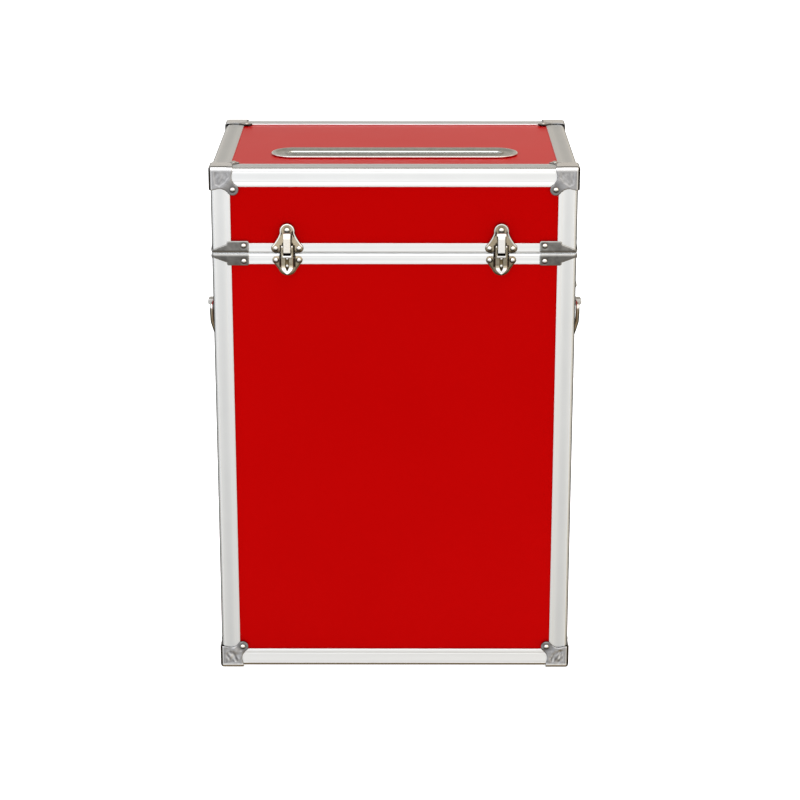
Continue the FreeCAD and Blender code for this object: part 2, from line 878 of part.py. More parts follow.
def lever():
    """A channel on the pin: a fork and window at the top that take the tongue, a keyhole, and a pointed
    finger end that flares out."""
    half = lever_half_width
    inner = lever_out - lever_sheet
    flare = lever_out + lever_flare
    sheet = latch_side(
        [
            (lever_out, lever_top),
            (lever_out, -lever_shoulder),
            (flare, -lever_point),
            (flare - lever_sheet, -lever_point),
            (inner, -lever_shoulder),
            (inner, lever_top),
        ],
        -half,
        half,
    )
    finger = lever_point - lever_shoulder
    outline = both_sides([
        (0.0, lever_top),
        (half, lever_top),
        (half, -lever_shoulder),
        (half * 0.72, -lever_shoulder - finger * 0.45, half * 0.17, -lever_point + finger * 0.07),
        (half * 0.12, -lever_point + finger * 0.01, 0.0, -lever_point),
    ])
    sheet = sheet.common(latch_face(outline, 0.0).extrude(Vector(0, -2 * flare, 0)))
    wall_in = latch_sheet + latch_bead + wall_gap
    wall_points = [
        (inner + lever_sheet / 2, lever_top),
        (inner - 2 * lever_sheet, lever_top),
        (wall_in, pivot_pin_radius - pivot_down),
        (wall_in, -pivot_down - 2 * pivot_pin_radius),
        (inner - 2 * lever_sheet, -lever_shoulder),
        (inner + lever_sheet / 2, -lever_shoulder),
    ]
    walls = [
        latch_side(wall_points, half - lever_sheet, half),
        latch_side(wall_points, -half, lever_sheet - half),
    ]
    lip = latch_block(
        (-window_half_width - lever_sheet, inner + lever_sheet / 2, window_bottom - lever_lip_height),
        (window_half_width + lever_sheet, lever_out + lever_lip, window_bottom),
    )
    window = latch_block((-window_half_width, 0, window_bottom), (window_half_width, flare, window_top))
    fork = latch_block(
        (-window_half_width, 0, window_top + bar_height), (window_half_width, flare, lever_top + 1)
    )
    slot_end = (keyhole_length - keyhole_width) / 2
    keyhole = latch_face(
        [
            (-keyhole_width / 2, -lock_down - slot_end),
            (0.0, -lock_down - keyhole_length / 2, keyhole_width / 2, -lock_down - slot_end),
            (keyhole_width / 2, -lock_down + slot_end),
            (0.0, -lock_down + keyhole_length / 2, -keyhole_width / 2, -lock_down + slot_end),
        ],
        inner - lever_sheet,
    ).extrude(Vector(0, -3 * lever_sheet, 0))
    notch = latch_block(
        (half - 2 * lever_sheet, lock_out - cam_play, -lock_down - cam_reach),
        (half + lever_sheet, lock_out + lock_thickness + cam_play, -lock_down + cam_half_width + cam_play),
    )
    whole = joined([sheet, lip] + walls)
    for tool in (window, fork, pin_bore(pivot_play), keyhole, notch):
        whole = whole.cut(tool)
    return whole


def lock_plug():
    """A disc behind the keyhole, with two drive pins that a key fits over and a cam that turns out to the
    side. At rest the cam points down, which is unlocked."""
    back = -half_depth - lock_out
    height = split - lock_down
    disc = rod((0, back, height), (0, -1, 0), lock_thickness, lock_radius)
    cam = latch_block(
        (-cam_half_width, lock_out, -lock_down - cam_reach),
        (cam_half_width, lock_out + lock_thickness, -lock_down),
    )
    hub = rod((0, back + hub_rise, height), (0, -1, 0), hub_rise + lock_thickness / 2, hub_radius)
    reach = lever_out - lever_sheet - lock_play - lock_out
    places = [height + drive_pin_place, height - drive_pin_place]
    drive_pins = [rod((0, back, z), (0, -1, 0), reach, drive_pin_radius) for z in places]
    return joined([disc, cam, hub] + drive_pins)


def lever_spring():
    """A torsion spring round the pin. One end points at the base, and the other runs up past the lock and
    bends out to the lever's back."""
    coil_radius = pivot_pin_radius + spring_play + spring_wire / 2
    pitch = spring_wire + spring_turn_gap
    turn = spring_turns - spring_foot_angle / 360
    height = pitch * turn
    wire = Part.Wire(Part.makeHelix(pitch, height, coil_radius).Edges)
    section = Part.Wire(Part.makeCircle(spring_wire / 2, Vector(coil_radius, 0, 0), Vector(0, 1, 0)))
    coil = wire.makePipeShell([section], True, True)
    thin = spring_wire / 2 - 0.02
    foot = rod((coil_radius, spring_turn_gap / 4, 0), (0, -1, 0), spring_foot_length, thin)
    coil = coil.fuse(foot)
    coil.rotate(Vector(0, 0, 0), Vector(0, 0, 1), spring_foot_angle)
    touch = lever_out - lever_sheet - spring_touch - pivot_out
    path = tangent_path(
        [
            Vector(coil_radius, -spring_turn_gap / 4, height),
            Vector(coil_radius, spring_leg_up, height),
            Vector(touch, spring_leg_up, height),
        ],
        [spring_bend],
    )
    section = Part.Wire(Part.makeCircle(thin, Vector(coil_radius, 0, height), Vector(0, 1, 0)))
    section.translate(Vector(0, -spring_turn_gap / 4, 0))
    spring = joined([coil, path.makePipeShell([section], True, False)])
    spring.translate(Vector(0, 0, -height / 2))
    spring.rotate(Vector(0, 0, 0), Vector(1, 0, 0), 90)
    spring.rotate(Vector(0, 0, 0), Vector(0, 0, 1), -90)
    spring.translate(Vector(0, -half_depth - pivot_out, split - pivot_down))
    return spring


pins = []
for side, x in (("left", -latch_x), ("right", latch_x)):
    for name, shape in (
        ("strike_plate", strike()),
        ("latch_base", base()),
        ("latch_lever", lever()),
        ("lock_plug", lock_plug()),
        ("lever_spring", lever_spring()),
    ):
        shape.translate(Vector(x, 0, 0))
        shapes[name + "_" + side] = shape
    reach = lever_half_width + ear_gap + ear_wall + pin_end
    place = (x - reach, -half_depth - pivot_out, split - pivot_down)
    pins.append(rod(place, (1, 0, 0), 2 * reach, pivot_pin_radius))
    seat = -half_depth - latch_sheet
    for sign in (1, -1):
        place = (x + sign * strike_lobe_x, seat, split + strike_lobe_up)
        set_rivet("lid", place, (0, 1, 0), latch_sheet + inner_face)
        place = (x + sign * base_lobe_x, seat, split - base_lobe_down)
        set_rivet("body", place, (0, 1, 0), latch_sheet + inner_face)
    set_rivet("lid", (x, seat, split + strike_rivet_up), (0, 1, 0), latch_sheet + panel_in)
shapes["latch_pins"] = Part.makeCompound(pins)


# Stop hinges

def hinge_leaf(sign):
    """A leaf at the back: a plate, its knuckles and a stop tab. sign is 1 for the lid's and -1 for the
    body's."""
    half = hinge_width / 2
    edge = split + (lid_gap if sign > 0 else 0.0)
    plate = block(
        (-half, half_depth, min(edge, edge + sign * hinge_leaf_height)),
        (half, half_depth + hinge_leaf_sheet, max(edge, edge + sign * hinge_leaf_height)),
    )
    pitch = hinge_width / knuckle_count
    own = range(0, knuckle_count, 2) if sign < 0 else range(1, knuckle_count, 2)
    angle = math.radians(lid_opening / 2) * sign
    outer = knuckle_radius + knuckle_play
    shift = Vector(0, 0, sign * (stop_sheet / 2 + stop_play))
    tab = block((-half, outer, -stop_sheet / 2), (half, stop_reach, stop_sheet / 2))
    tab.translate(shift)
    pieces = []
    for k in own:
        low = -half + k * pitch + knuckle_gap / 2
        length = pitch - knuckle_gap
        pieces.append(rod((low, hinge_axis_y, hinge_pin_z), (1, 0, 0), length, knuckle_radius))
        root = block((low, 0.0, -stop_sheet / 2), (low + length, outer + stop_sheet / 2, stop_sheet / 2))
        root.translate(shift)
        root.rotate(Vector(0, 0, 0), Vector(1, 0, 0), math.degrees(angle))
        root.translate(Vector(0, hinge_axis_y, hinge_pin_z))
        pieces.append(root)
    tab.rotate(Vector(0, 0, 0), Vector(1, 0, 0), math.degrees(angle))
    tab.translate(Vector(0, hinge_axis_y, hinge_pin_z))
    for k in range(knuckle_count):
        if k in own:
            continue
        low = -half + k * pitch - knuckle_gap / 2
        plate = plate.cut(rod((low, hinge_axis_y, hinge_pin_z), (1, 0, 0), pitch + knuckle_gap, outer))
    leaf = joined([plate, tab] + pieces)
    bore_radius = hinge_pin_radius + hinge_pin_play
    bore = rod((-half - 1, hinge_axis_y, hinge_pin_z), (1, 0, 0), hinge_width + 2, bore_radius)
    return leaf.cut(bore)


hinge_axis_y = half_depth + hinge_out
hinge_pins = []
for sign, body, name in ((-1, "body", "body_hinge_leaves"), (1, "lid", "lid_hinge_leaves")):
    pair = []
    for x in (-hinge_x, hinge_x):
        leaf = hinge_leaf(sign)
        leaf.translate(Vector(x, 0, 0))
        pair.append(leaf)
        edge = split + (lid_gap if sign > 0 else 0.0)
        for share in (-hinge_rivet_share, 0.0, hinge_rivet_share):
            place = (x + share * hinge_width, half_depth + hinge_leaf_sheet, edge + sign * hinge_rivet_up)
            set_rivet(body, place, (0, -1, 0), hinge_leaf_sheet + inner_face)
    shapes[name] = Part.makeCompound(pair)
for x in (-hinge_x, hinge_x):
    start = (x - hinge_width / 2, hinge_axis_y, hinge_pin_z)
    hinge_pins.append(rod(start, (1, 0, 0), hinge_width, hinge_pin_radius))
shapes["hinge_pins"] = Part.makeCompound(hinge_pins)


# Side handles, made on the left side and mirrored

def handle_plate():
    """A pressed plate with two lugs that carry the bail."""
    top = handle_pivot_height + handle_plate_over
    outer = -half_width - handle_plate_out
    back = outer + handle_plate_sheet
    plate = block(
        (outer, -handle_plate_length / 2, top - handle_plate_height), (back, handle_plate_length / 2, top)
    )
    corners_x = [e for e in plate.Edges if abs(e.tangentAt(e.FirstParameter).x) > 0.9]
    plate = plate.makeFillet(handle_plate_round, corners_x)
    lugs = []
    for y in (-lug_place, lug_place):
        lug = block(
            (-half_width - lug_out, y - lug_width / 2, handle_pivot_height - lug_height / 2),
            (outer + handle_plate_sheet / 2, y + lug_width / 2, handle_pivot_height + lug_height / 2),
        )
        round_edges = [
            e for e in lug.Edges
            if abs(e.tangentAt(e.FirstParameter).y) > 0.9 and e.CenterOfMass.x < 1 - half_width - lug_out
        ]
        lugs.append(lug.makeFillet(lug_round, round_edges))
    bore = rod(
        (-half_width - handle_pivot_out, -half_depth, handle_pivot_height), (0, 1, 0), depth,
        rod_radius + lug_play
    )
    return joined([plate] + lugs).cut(bore)


def bail():
    """A bent rod: an end in each lug, arms that bow out and come back in, and a grip between them."""
    def place(y, out, down):
        return Vector(-half_width - out, y, handle_pivot_height - down)

    side = [
        place(-bail_trunnion_end, handle_pivot_out, 0),
        place(-bail_arm_place, handle_pivot_out, 0),
        place(-bail_arm_place, bail_bow_out, bail_bow_down),
        place(-bail_arm_place, bail_knee_out, bail_knee_down),
        place(-bail_arm_place, bail_grip_out, bail_grip_down),
    ]
    points = side + [Vector(p.x, -p.y, p.z) for p in reversed(side)]
    path = tangent_path(points, bail_rounds + bail_rounds[::-1])
    section = Part.Wire(Part.makeCircle(rod_radius, points[0], Vector(0, 1, 0)))
    return path.makePipeShell([section], True, False)


shapes["handle_plate_left"] = handle_plate()
shapes["handle_bail_left"] = bail()
for name in ("handle_plate", "handle_bail"):
    shapes[name + "_right"] = mirrored(shapes[name + "_left"], "x")
plate_top = handle_pivot_height + handle_plate_over
rivet_y = handle_plate_length / 2 - handle_rivet_end
for side in (-1, 1):
    x = side * (half_width + handle_plate_out)
    for y in (-rivet_y, rivet_y):
        for z in (plate_top - handle_rivet_drop, plate_top - handle_plate_height + handle_rivet_rise):
            set_rivet("body", (x, y, z), (-side, 0, 0), handle_plate_out + panel_in)


# Drilling: each rivet hole goes through whatever it meets on its own body
lid_nodes = [
    name for name in shapes
    if name.startswith(("lid_", "top_", "strike_", "slot_"))
]
undrilled = ("lever", "latch_lever", "lock", "latch_pins", "hinge_pins", "handle_bail")
for name, shape in shapes.items():
    if name.startswith(undrilled):
        continue
    body = "lid" if name in lid_nodes else "body"
    box = shape.BoundBox
    tools = [hole for owner, hole in holes if owner == body and hole.BoundBox.intersect(box)]
    if not tools:
        continue
    solids = [s.cut(tools) for s in shape.Solids]
    shapes[name] = Part.makeCompound(solids) if len(solids) > 1 else solids[0]

shapes["body_rivets"] = Part.makeCompound(rivets["body"])
shapes["lid_rivets"] = Part.makeCompound(rivets["lid"])

for name, shape in shapes.items():
    shape.exportStep("parts/" + name + ".step")
print(len(shapes), "sub-parts")
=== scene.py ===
import json
import math

import bmesh
import bpy
import numpy as np
from mathutils import Euler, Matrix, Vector, noise
from mathutils.geometry import delaunay_2d_cdt, tessellate_polygon

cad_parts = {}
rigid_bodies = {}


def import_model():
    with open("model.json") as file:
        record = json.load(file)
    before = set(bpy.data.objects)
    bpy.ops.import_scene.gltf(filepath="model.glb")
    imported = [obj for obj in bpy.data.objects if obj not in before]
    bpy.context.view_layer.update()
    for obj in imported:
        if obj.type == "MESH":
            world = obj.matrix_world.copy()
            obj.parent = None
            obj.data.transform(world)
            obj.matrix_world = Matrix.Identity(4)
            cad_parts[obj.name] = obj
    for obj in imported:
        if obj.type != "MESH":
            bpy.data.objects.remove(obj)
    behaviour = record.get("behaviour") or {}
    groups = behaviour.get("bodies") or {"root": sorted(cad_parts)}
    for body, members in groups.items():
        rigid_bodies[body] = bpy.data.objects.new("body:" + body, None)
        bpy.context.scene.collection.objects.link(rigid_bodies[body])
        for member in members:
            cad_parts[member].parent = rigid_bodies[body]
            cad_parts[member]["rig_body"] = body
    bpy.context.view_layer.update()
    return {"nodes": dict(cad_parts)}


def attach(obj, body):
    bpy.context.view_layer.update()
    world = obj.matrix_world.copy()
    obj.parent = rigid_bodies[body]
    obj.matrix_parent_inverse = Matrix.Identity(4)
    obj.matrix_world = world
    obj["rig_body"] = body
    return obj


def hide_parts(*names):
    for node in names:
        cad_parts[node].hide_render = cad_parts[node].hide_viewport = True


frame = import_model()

# Sizes in millimetres. They are those of the part's source, apart from edge_round (2.6 there) and rim_heights
# (10.5 there), which follow the photo more closely. The front faces -Y and +Z is up.
half_width = 170.0
half_depth = 115.0
rail_bottom = 1.6
split = 420.4
lid_split = 420.7
rail_top = 501.6
edge_leg = 18.0
edge_round = 3.1
leg_thickness = 1.2
channel_end = 5.1
channel_wall = 6.1
inner_leg_width = 11.0
rim_height = 10.5
rim_heights = {"body": 10.3, "lid": 9.4}
rim_web = 1.2
lip_height = 3.0
lip_start = 3.9
lip_thickness = 1.2
lip_play = 0.3
panel_out = 1.3
panel_in = 5.0
cover_size = 21.0
cover_stand = 1.6
cover_round = 3.2
cover_sheet = 1.0
cover_side_sheet = 0.6
ear_centre = 20.6
ear_radius = 5.4
brace_length = 34.6
brace_start = 14.0
brace_sheet = 1.0
brace_rivet_in = 4.8
brace_rivet_up = 7.2
slot_straight = 96.0
slot_centre = -46.0
latch_x = 99.6
latch_sheet = 0.9
strike_rivet_x = 10.7
strike_rivet_up = 5.0
strike_top_rivet_up = 22.3
base_rivet_x = 10.4
base_rivet_down = 6.2
hinge_x = 95.0
hinge_sheet = 1.4
hinge_rivet_step = 21.6
hinge_rivet_up = 7.6
handle_rivet_y = 52.5
handle_rivet_heights = (352.3, 318.3)
drive_pin_out = 6.4

corners = [("front_left", 1, 1), ("front_right", -1, 1), ("back_left", 1, -1), ("back_right", -1, -1)]
ends = [("bottom", rail_bottom, 1, "cabinet"), ("top", rail_top, -1, "lid")]
halves = [("body", split, -1, "cabinet"), ("lid", lid_split, 1, "lid")]


# Finishes

def give(socket, value):
    """Gives an input a value, or another node's output."""
    if isinstance(value, bpy.types.NodeSocket):
        socket.id_data.links.new(value, socket)
    else:
        socket.default_value = value


def adder(tree):
    """A helper that adds a node to a tree. Inputs and settings go by name, or inputs by number."""
    def add(kind, numbered=None, **named):
        node = tree.nodes.new(kind)
        for key, value in named.items():
            label = key.replace("_", " ")
            if label in node.inputs:
                give(node.inputs[label], value)
            else:
                setattr(node, key, value)
        for place, value in (numbered or {}).items():
            give(node.inputs[place], value)
        return node

    return add


def shader(name, color, metallic, roughness, ior=1.5):
    """A new material, a helper that gives its shader's inputs, and one that adds nodes."""
    material = bpy.data.materials.new(name)
    material.use_nodes = True
    tree = material.node_tree

    def feed(**values):
        for key, value in values.items():
            give(tree.nodes["Principled BSDF"].inputs[key.replace("_", " ")], value)

    feed(Base_Color=(*color, 1.0), Metallic=metallic, Roughness=roughness, IOR=ior)
    return material, feed, adder(tree)


def placed(add, scale=(1, 1, 1), source="Object"):
    """Coordinates in metres, stretched by a scale for each direction."""
    here = add("ShaderNodeTexCoord").outputs[source]
    return add("ShaderNodeMapping", Vector=here, Scale=scale).outputs["Vector"]


def grain(add, vector, scale, detail=3.0, rough=0.6):
    """Soft random clouds between 0 and 1."""
    return add("ShaderNodeTexNoise", Vector=vector, Scale=scale, Detail=detail, Roughness=rough).outputs["Fac"]


def spread(add, value, low, high, low_out=0.0, high_out=1.0):
    """A value's range made into another, and held at its ends."""
    return add(
        "ShaderNodeMapRange", Value=value, From_Min=low, From_Max=high, To_Min=low_out, To_Max=high_out
    ).outputs["Result"]


def mixed(add, share, first, second, **settings):
    """A colour between two, each a colour or a node's output."""
    first, second = (((*color, 1.0) if isinstance(color, tuple) else color) for color in (first, second))
    return add("ShaderNodeMix", {0: share, 6: first, 7: second}, data_type="RGBA", **settings).outputs[2]


def cloudy(add, cloud, dark, light):
    """A colour that drifts between two."""
    return mixed(add, spread(add, cloud, 0.3, 0.7), dark, light)


def map_of(add, name):
    """One of the piece's own maps."""
    return add("ShaderNodeAttribute", attribute_name=name).outputs["Fac"]


def highlit_and_shaded(add, color, highlight_tone, shade_color):
    """A colour lightened towards a second by the piece's map of painted highlights, and darkened towards a
    third by its map of painted shade.
    """
    return mixed(add, map_of(add, "soil"), mixed(add, map_of(add, "rub"), color, highlight_tone), shade_color)


def raised(add, height, strength, distance, **under):
    """A surface that a height raises."""
    return add("ShaderNodeBump", Height=height, Strength=strength, Distance=distance, **under).outputs["Normal"]


def red_board_skin():
    """Satin red plastic skin: even colour, faint cloudiness, a fine dimpled surface and soft scuffs."""
    material, feed, add = shader("red board skin", (0.5, 0.0004, 0.0004), 0.0, 0.3, 1.25)
    here = placed(add)
    scuffs = grain(add, placed(add, (14, 14, 14)), 1.0, 2.0, 0.5)
    feed(
        Base_Color=cloudy(add, grain(add, here, 5.0, 2.0), (0.427, 0.0002, 0.0002), (0.445, 0.0004, 0.0004)),
        Roughness=spread(add, scuffs, 0.3, 0.7, 0.29, 0.31), Specular_Tint=(0.8, 0.04, 0.04, 1.0),
        Normal=raised(add, grain(add, here, 1100.0, 2.0), 0.03, 0.00002),
    )
    return material


def drawn_aluminium():
    """Satin anodised extrusion: fine die lines that run along the profile, on the piece's own map, and an edge
    that handling has polished. Its colour carries painted highlights and painted shade from the piece's maps."""
    material, feed, add = shader("drawn aluminium", (0.90, 0.90, 0.895), 1.0, 0.34)
    lines = grain(add, placed(add, (6, 2600, 1), "UV"), 1.0, 4.0, 0.65)
    satin = spread(add, lines, 0.25, 0.75, 0.36, 0.48)
    color = cloudy(add, grain(add, placed(add), 22.0), (0.80, 0.825, 0.85), (0.835, 0.86, 0.885))
    feed(
        # painted highlight colour (0.93, 0.95, 0.97) and painted shade colour (0.04, 0.035, 0.025)
        Base_Color=highlit_and_shaded(add, color, (0.93, 0.95, 0.97), (0.04, 0.035, 0.025)),
        Roughness=spread(add, map_of(add, "polish"), 0.0, 1.0, satin, 0.16),
        Tangent=add("ShaderNodeTangent", direction_type="UV_MAP", uv_map="along").outputs["Tangent"],
        Anisotropic=0.6, Anisotropic_Rotation=0.25, Normal=raised(add, lines, 0.25, 0.00003),
    )
    return material


def pressed_steel(name, dark, light, low_rough, high_rough, patch, bump=0.0002, highlight_tone=(0.86, 0.86, 0.85)):
    """Plated pressed sheet: cloudy plate, fine scratches, and the painted highlights and painted shade of the
    piece's maps.
    """
    material, feed, add = shader(name, light, 1.0, low_rough)
    here = placed(add)
    cloud = grain(add, here, patch, 4.0, 0.62)
    scratch = grain(add, placed(add, (60, 60, 900)), 1.0, 5.0, 0.7)
    patches = raised(add, cloud, 0.1, bump)
    feed(
        # the steel's painted highlight colour, and a near-black painted shade colour
        Base_Color=highlit_and_shaded(add, cloudy(add, cloud, dark, light), highlight_tone, (0.03, 0.022, 0.014)),
        Roughness=spread(add, scratch, 0.3, 0.75, low_rough, high_rough),
        Normal=raised(add, grain(add, here, 1400.0, 2.0), 0.08, 0.00003, Normal=patches),
    )
    return material


# For each steel: its name, a dark and a light colour, the least and most roughness, how fine its clouds are,
# and for some the height of its bumps and the colour of its painted highlights
steels = {
    "cover": (
        "cover steel", (0.35, 0.35, 0.36), (0.50, 0.50, 0.51), 0.12, 0.24, 170.0, 0.0004, (0.93, 0.93, 0.94)
    ),
    "brace": ("brace steel", (0.12, 0.117, 0.111), (0.21, 0.206, 0.197), 0.24, 0.38, 150.0),
    "rivet": ("rivet plate", (0.80, 0.78, 0.74), (0.90, 0.88, 0.84), 0.08, 0.16, 300.0),
    # The latch, base and lever plates are one plating: the base and lever get darker colours as painted shade,
    # and the latch's warm tint is partly painted brown reflection.
    "latch": (
        "latch plate", (0.54, 0.455, 0.325), (0.67, 0.57, 0.415), 0.12, 0.22, 220.0, 0.0002, (0.95, 0.94, 0.92)
    ),
    "base": ("base plate", (0.27, 0.22, 0.15), (0.40, 0.34, 0.25), 0.12, 0.24, 240.0),
    "lever": ("lever plate", (0.32, 0.28, 0.20), (0.46, 0.41, 0.32), 0.12, 0.24, 240.0),
    "slot": (
        "slot plate", (0.43, 0.435, 0.405), (0.55, 0.555, 0.525), 0.16, 0.26, 160.0, 0.00005, (0.93, 0.95, 0.95)
    ),
    # lock steel is near-black as painted shade for the plug seen down the keyhole
    "lock": ("lock steel", (0.10, 0.075, 0.04), (0.18, 0.14, 0.08), 0.26, 0.40, 260.0),
    "spring": ("spring wire", (0.30, 0.30, 0.30), (0.42, 0.42, 0.42), 0.24, 0.36, 400.0),
    "hinge": ("hinge steel", (0.50, 0.50, 0.49), (0.66, 0.66, 0.65), 0.22, 0.36, 180.0),
    "handle": ("handle plate", (0.50, 0.50, 0.49), (0.66, 0.66, 0.65), 0.20, 0.34, 160.0),
    # the bail is chrome; its brown colours are painted brown reflection
    "bail": ("bail chrome", (0.24, 0.20, 0.12), (0.40, 0.35, 0.24), 0.08, 0.18, 200.0),
}
finishes = {"board": red_board_skin(), "frame": drawn_aluminium()}
finishes.update({key: pressed_steel(*values) for key, values in steels.items()})


# Making pieces

def shown(name, data):
    """An object in the scene."""
    thing = bpy.data.objects.new(name, data)
    bpy.context.scene.collection.objects.link(thing)
    return thing


def carried_out(thing):
    """The mesh of an object after its modifiers."""
    bpy.context.view_layer.update()
    return bpy.data.meshes.new_from_object(thing.evaluated_get(bpy.context.evaluated_depsgraph_get()))


def reworked(mesh, work):
    """Merges a mesh's double points, and does one more thing to it."""
    build = bmesh.new()
    build.from_mesh(mesh)
    bmesh.ops.remove_doubles(build, verts=build.verts, dist=1e-7)
    work(build)
    build.to_mesh(mesh)
    build.free()


def mark(mesh, label, values):
    """Writes a value for each point, which the finish reads as a map."""
    values = np.ascontiguousarray(values, np.float32)
    mesh.attributes.new(label, "FLOAT", "POINT").data.foreach_set("value", values)


def settle(piece, body, nodes):
    """Puts a piece on its body, in place of the nodes that it stands for."""
    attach(piece, body)
    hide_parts(*nodes)


def made(name, points, faces, finish, body, nodes, smooth, lines=None, **maps):
    """A piece from points in millimetres. lines holds a place for each face corner on the piece's own map, and
    maps hold a value for each point."""
    mesh = bpy.data.meshes.new(name)
    spots = (np.asarray(points, float) * 0.001).tolist()
    mesh.from_pydata(spots, [], [tuple(int(i) for i in face) for face in faces])
    mesh.materials.append(finishes[finish])
    if lines is not None:
        mesh.uv_layers.new(name="along").data.foreach_set("uv", np.asarray(lines, np.float32).ravel())
    for label, values in maps.items():
        mark(mesh, label, values)
    reworked(mesh, lambda build: bmesh.ops.recalc_face_normals(build, faces=build.faces))
    mesh.shade_smooth()
    mesh.set_sharp_from_angle(angle=math.radians(smooth))
    settle(shown(name, mesh), body, nodes)


def softened(node, finish, width=0.25, painted_light=None):
    """A copy of a CAD node with its edges broken, as deburred and plated metal has them. The optional function
    gives a painted highlight and a painted shade value for each point from its place and normal. Large flat
    faces are shaded flat."""
    mesh = frame["nodes"][node].data.copy()
    mesh.name = node + "_made"
    reworked(mesh, lambda build: bmesh.ops.dissolve_limit(
        build, angle_limit=math.radians(1.0), verts=build.verts, edges=build.edges
    ))
    mesh.materials.clear()
    mesh.materials.append(finishes[finish])
    piece = shown(node + "_made", mesh)
    bevel = piece.modifiers.new("broken edges", "BEVEL")
    bevel.width = width * 0.001
    bevel.segments = 2
    bevel.limit_method = "ANGLE"
    bevel.angle_limit = math.radians(40.0)
    bevel.use_clamp_overlap = True
    done = carried_out(piece)
    piece.modifiers.clear()
    piece.data = done
    done.shade_smooth()
    for face in done.polygons:
        face.use_smooth = face.area < 2e-5
    done.set_sharp_from_angle(angle=math.radians(30.0))
    if painted_light:
        values = np.array([painted_light(v.co * 1000.0, v.normal) for v in done.vertices], np.float32)
        mark(done, "rub", values[:, 0])
        mark(done, "soil", values[:, 1])
    settle(piece, frame["nodes"][node]["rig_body"], [node])


# The aluminium frame

def swept(name, section, start, end, place, body, node, kind="edge", least_highlight=0.0):
    """A straight length of a section. start and end say how far along each point of the section goes. Its field
    gets less painted highlight than its sides, its rounded edge is polished, and an upright's outer edge
    carries a painted dark line."""
    section = np.asarray(section, float)
    count = len(section)
    around = np.concatenate([[0.0], np.cumsum(np.linalg.norm(np.roll(section, -1, 0) - section, axis=1))])
    low, high = (np.array([how_far(*p) for p in section]) for how_far in (start, end))
    points = [place(a, b, t) for side in (low, high) for (a, b), t in zip(section, side)]
    faces, lines = [], []
    for i in range(count):
        j = (i + 1) % count
        faces.append((i, j, count + j, count + i))
        lines += [(low[i], around[i]), (low[j], around[i + 1]), (high[j], around[i + 1]), (high[i], around[i])]
    for triangle in tessellate_polygon([[Vector((a, b, 0)) for a, b in section]]):
        for base in (0, count):
            faces.append(tuple(base + i for i in triangle))
            lines += [section[i] for i in triangle]
    is_edge = kind == "edge"
    middle, reach, most = (8.65, 4.95, 1.0) if is_edge else (5.65, 2.25, 0.5)
    across = section.max(1) if is_edge else section[:, 1]
    # painted highlight, lighter towards the sides of the field than in its middle
    rub = np.clip(((across - middle) / reach) ** 2, least_highlight, most)
    polish = (section.max(1) < edge_round + 0.05).astype(float) * is_edge
    # painted shade: a dark line along an upright's outer rounded edge
    soil = 0.9 * polish * (section[:, 0] < 1.1) * ("post" in name)
    made(
        name, points, faces, "frame", body, [node], 28.0, np.array(lines) * 0.001,
        rub=np.tile(rub, 2), soil=np.tile(soil, 2), polish=np.tile(polish, 2),
    )


def swept_round(section, mitre, level, up, body, names, kind="edge", least_highlight=0.0):
    """Four lengths of a section round the box, cut at its corners by a mitre. names gives the piece and the CAD
    node of a side."""
    for side, flip in (("front", 1), ("back", -1), ("left", 1), ("right", -1)):
        ahead = side in ("front", "back")
        half, out = (half_width, half_depth) if ahead else (half_depth, half_width)

        def place(a, b, t):
            across = (a - out) * flip
            return (t, across, level + b * up) if ahead else (across, t, level + b * up)

        piece, node = names(side)
        swept(
            piece, section, lambda a, b: mitre(a, b) - half, lambda a, b: half - mitre(a, b), place, body, node,
            kind, least_highlight,
        )


def fluted(length, start, grooves, cut, hollow):
    """Depth of a profile's outer face at places along it: two fine grooves, and a shallow hollow between."""
    first, last = grooves
    places = sorted(set(
        [start, length - 0.35] + [g + d for g in grooves for d in (-0.6, -0.35, -0.15, 0.0, 0.15, 0.35, 0.6)]
        + list(np.linspace(first + 0.6, last - 0.6, 9))
    ))
    result = []
    for t in places:
        depth = 0.0
        for g in grooves:
            if abs(t - g) < 0.6:
                depth += cut * (0.5 + 0.5 * math.cos(math.pi * (t - g) / 0.6))
        if first < t < last:
            depth += hollow * math.sin(math.pi * (t - first) / (last - first))
        result.append((t, depth))
    return result


def edge_section():
    """The edge profile: two fluted legs from a rounded edge, and two inner legs that hold the boards."""
    leg = fluted(edge_leg, edge_round + 0.2, (4.0, 13.6), 0.09, 0.05)
    outer = [(edge_leg - 0.12, 0.1)] + [(t, d) for t, d in reversed(leg)]
    turned = [(d, t) for t, d in leg] + [(0.1, edge_leg - 0.12)]
    arc = []
    for k in range(9):
        angle = math.pi * k / 16
        arc.append((edge_round * (1 - math.sin(angle)), edge_round * (1 - math.cos(angle))))
    inner = [
        (0.35, edge_leg), (leg_thickness - 0.3, edge_leg), (leg_thickness, edge_leg - 0.3),
        (leg_thickness, channel_wall), (channel_end, channel_wall), (channel_end, inner_leg_width),
        (channel_wall, inner_leg_width), (channel_wall, channel_wall),
    ]
    back = [(b, a) for a, b in reversed(inner[:-1])]
    return outer + arc + turned + inner + back


profile = edge_section()
slopes = {kind: height / edge_leg for kind, height in rim_heights.items()}
for corner, flip_x, flip_y in corners:
    def upright(a, b, t):
        return ((a - half_width) * flip_x, (b - half_depth) * flip_y, t)

    swept(
        "body_post_" + corner + "_made", profile, lambda a, b: rail_bottom + max(a, b),
        lambda a, b: split - max(a, b) * slopes["body"], upright, "cabinet", "body_post_" + corner,
    )
    swept(
        "lid_post_" + corner + "_made", profile, lambda a, b: lid_split + max(a, b) * slopes["lid"],
        lambda a, b: rail_top - max(a, b), upright, "lid", "lid_post_" + corner,
    )
# The cabinet's bottom edges get a painted highlight of at least 0.9 all along.
for end, level, up, body in ends:
    swept_round(
        profile, max, level, up, body, lambda side: (end + "_edge_" + side + "_made", end + "_edge_" + side),
        least_highlight=0.9 if body == "cabinet" else 0.0,
    )


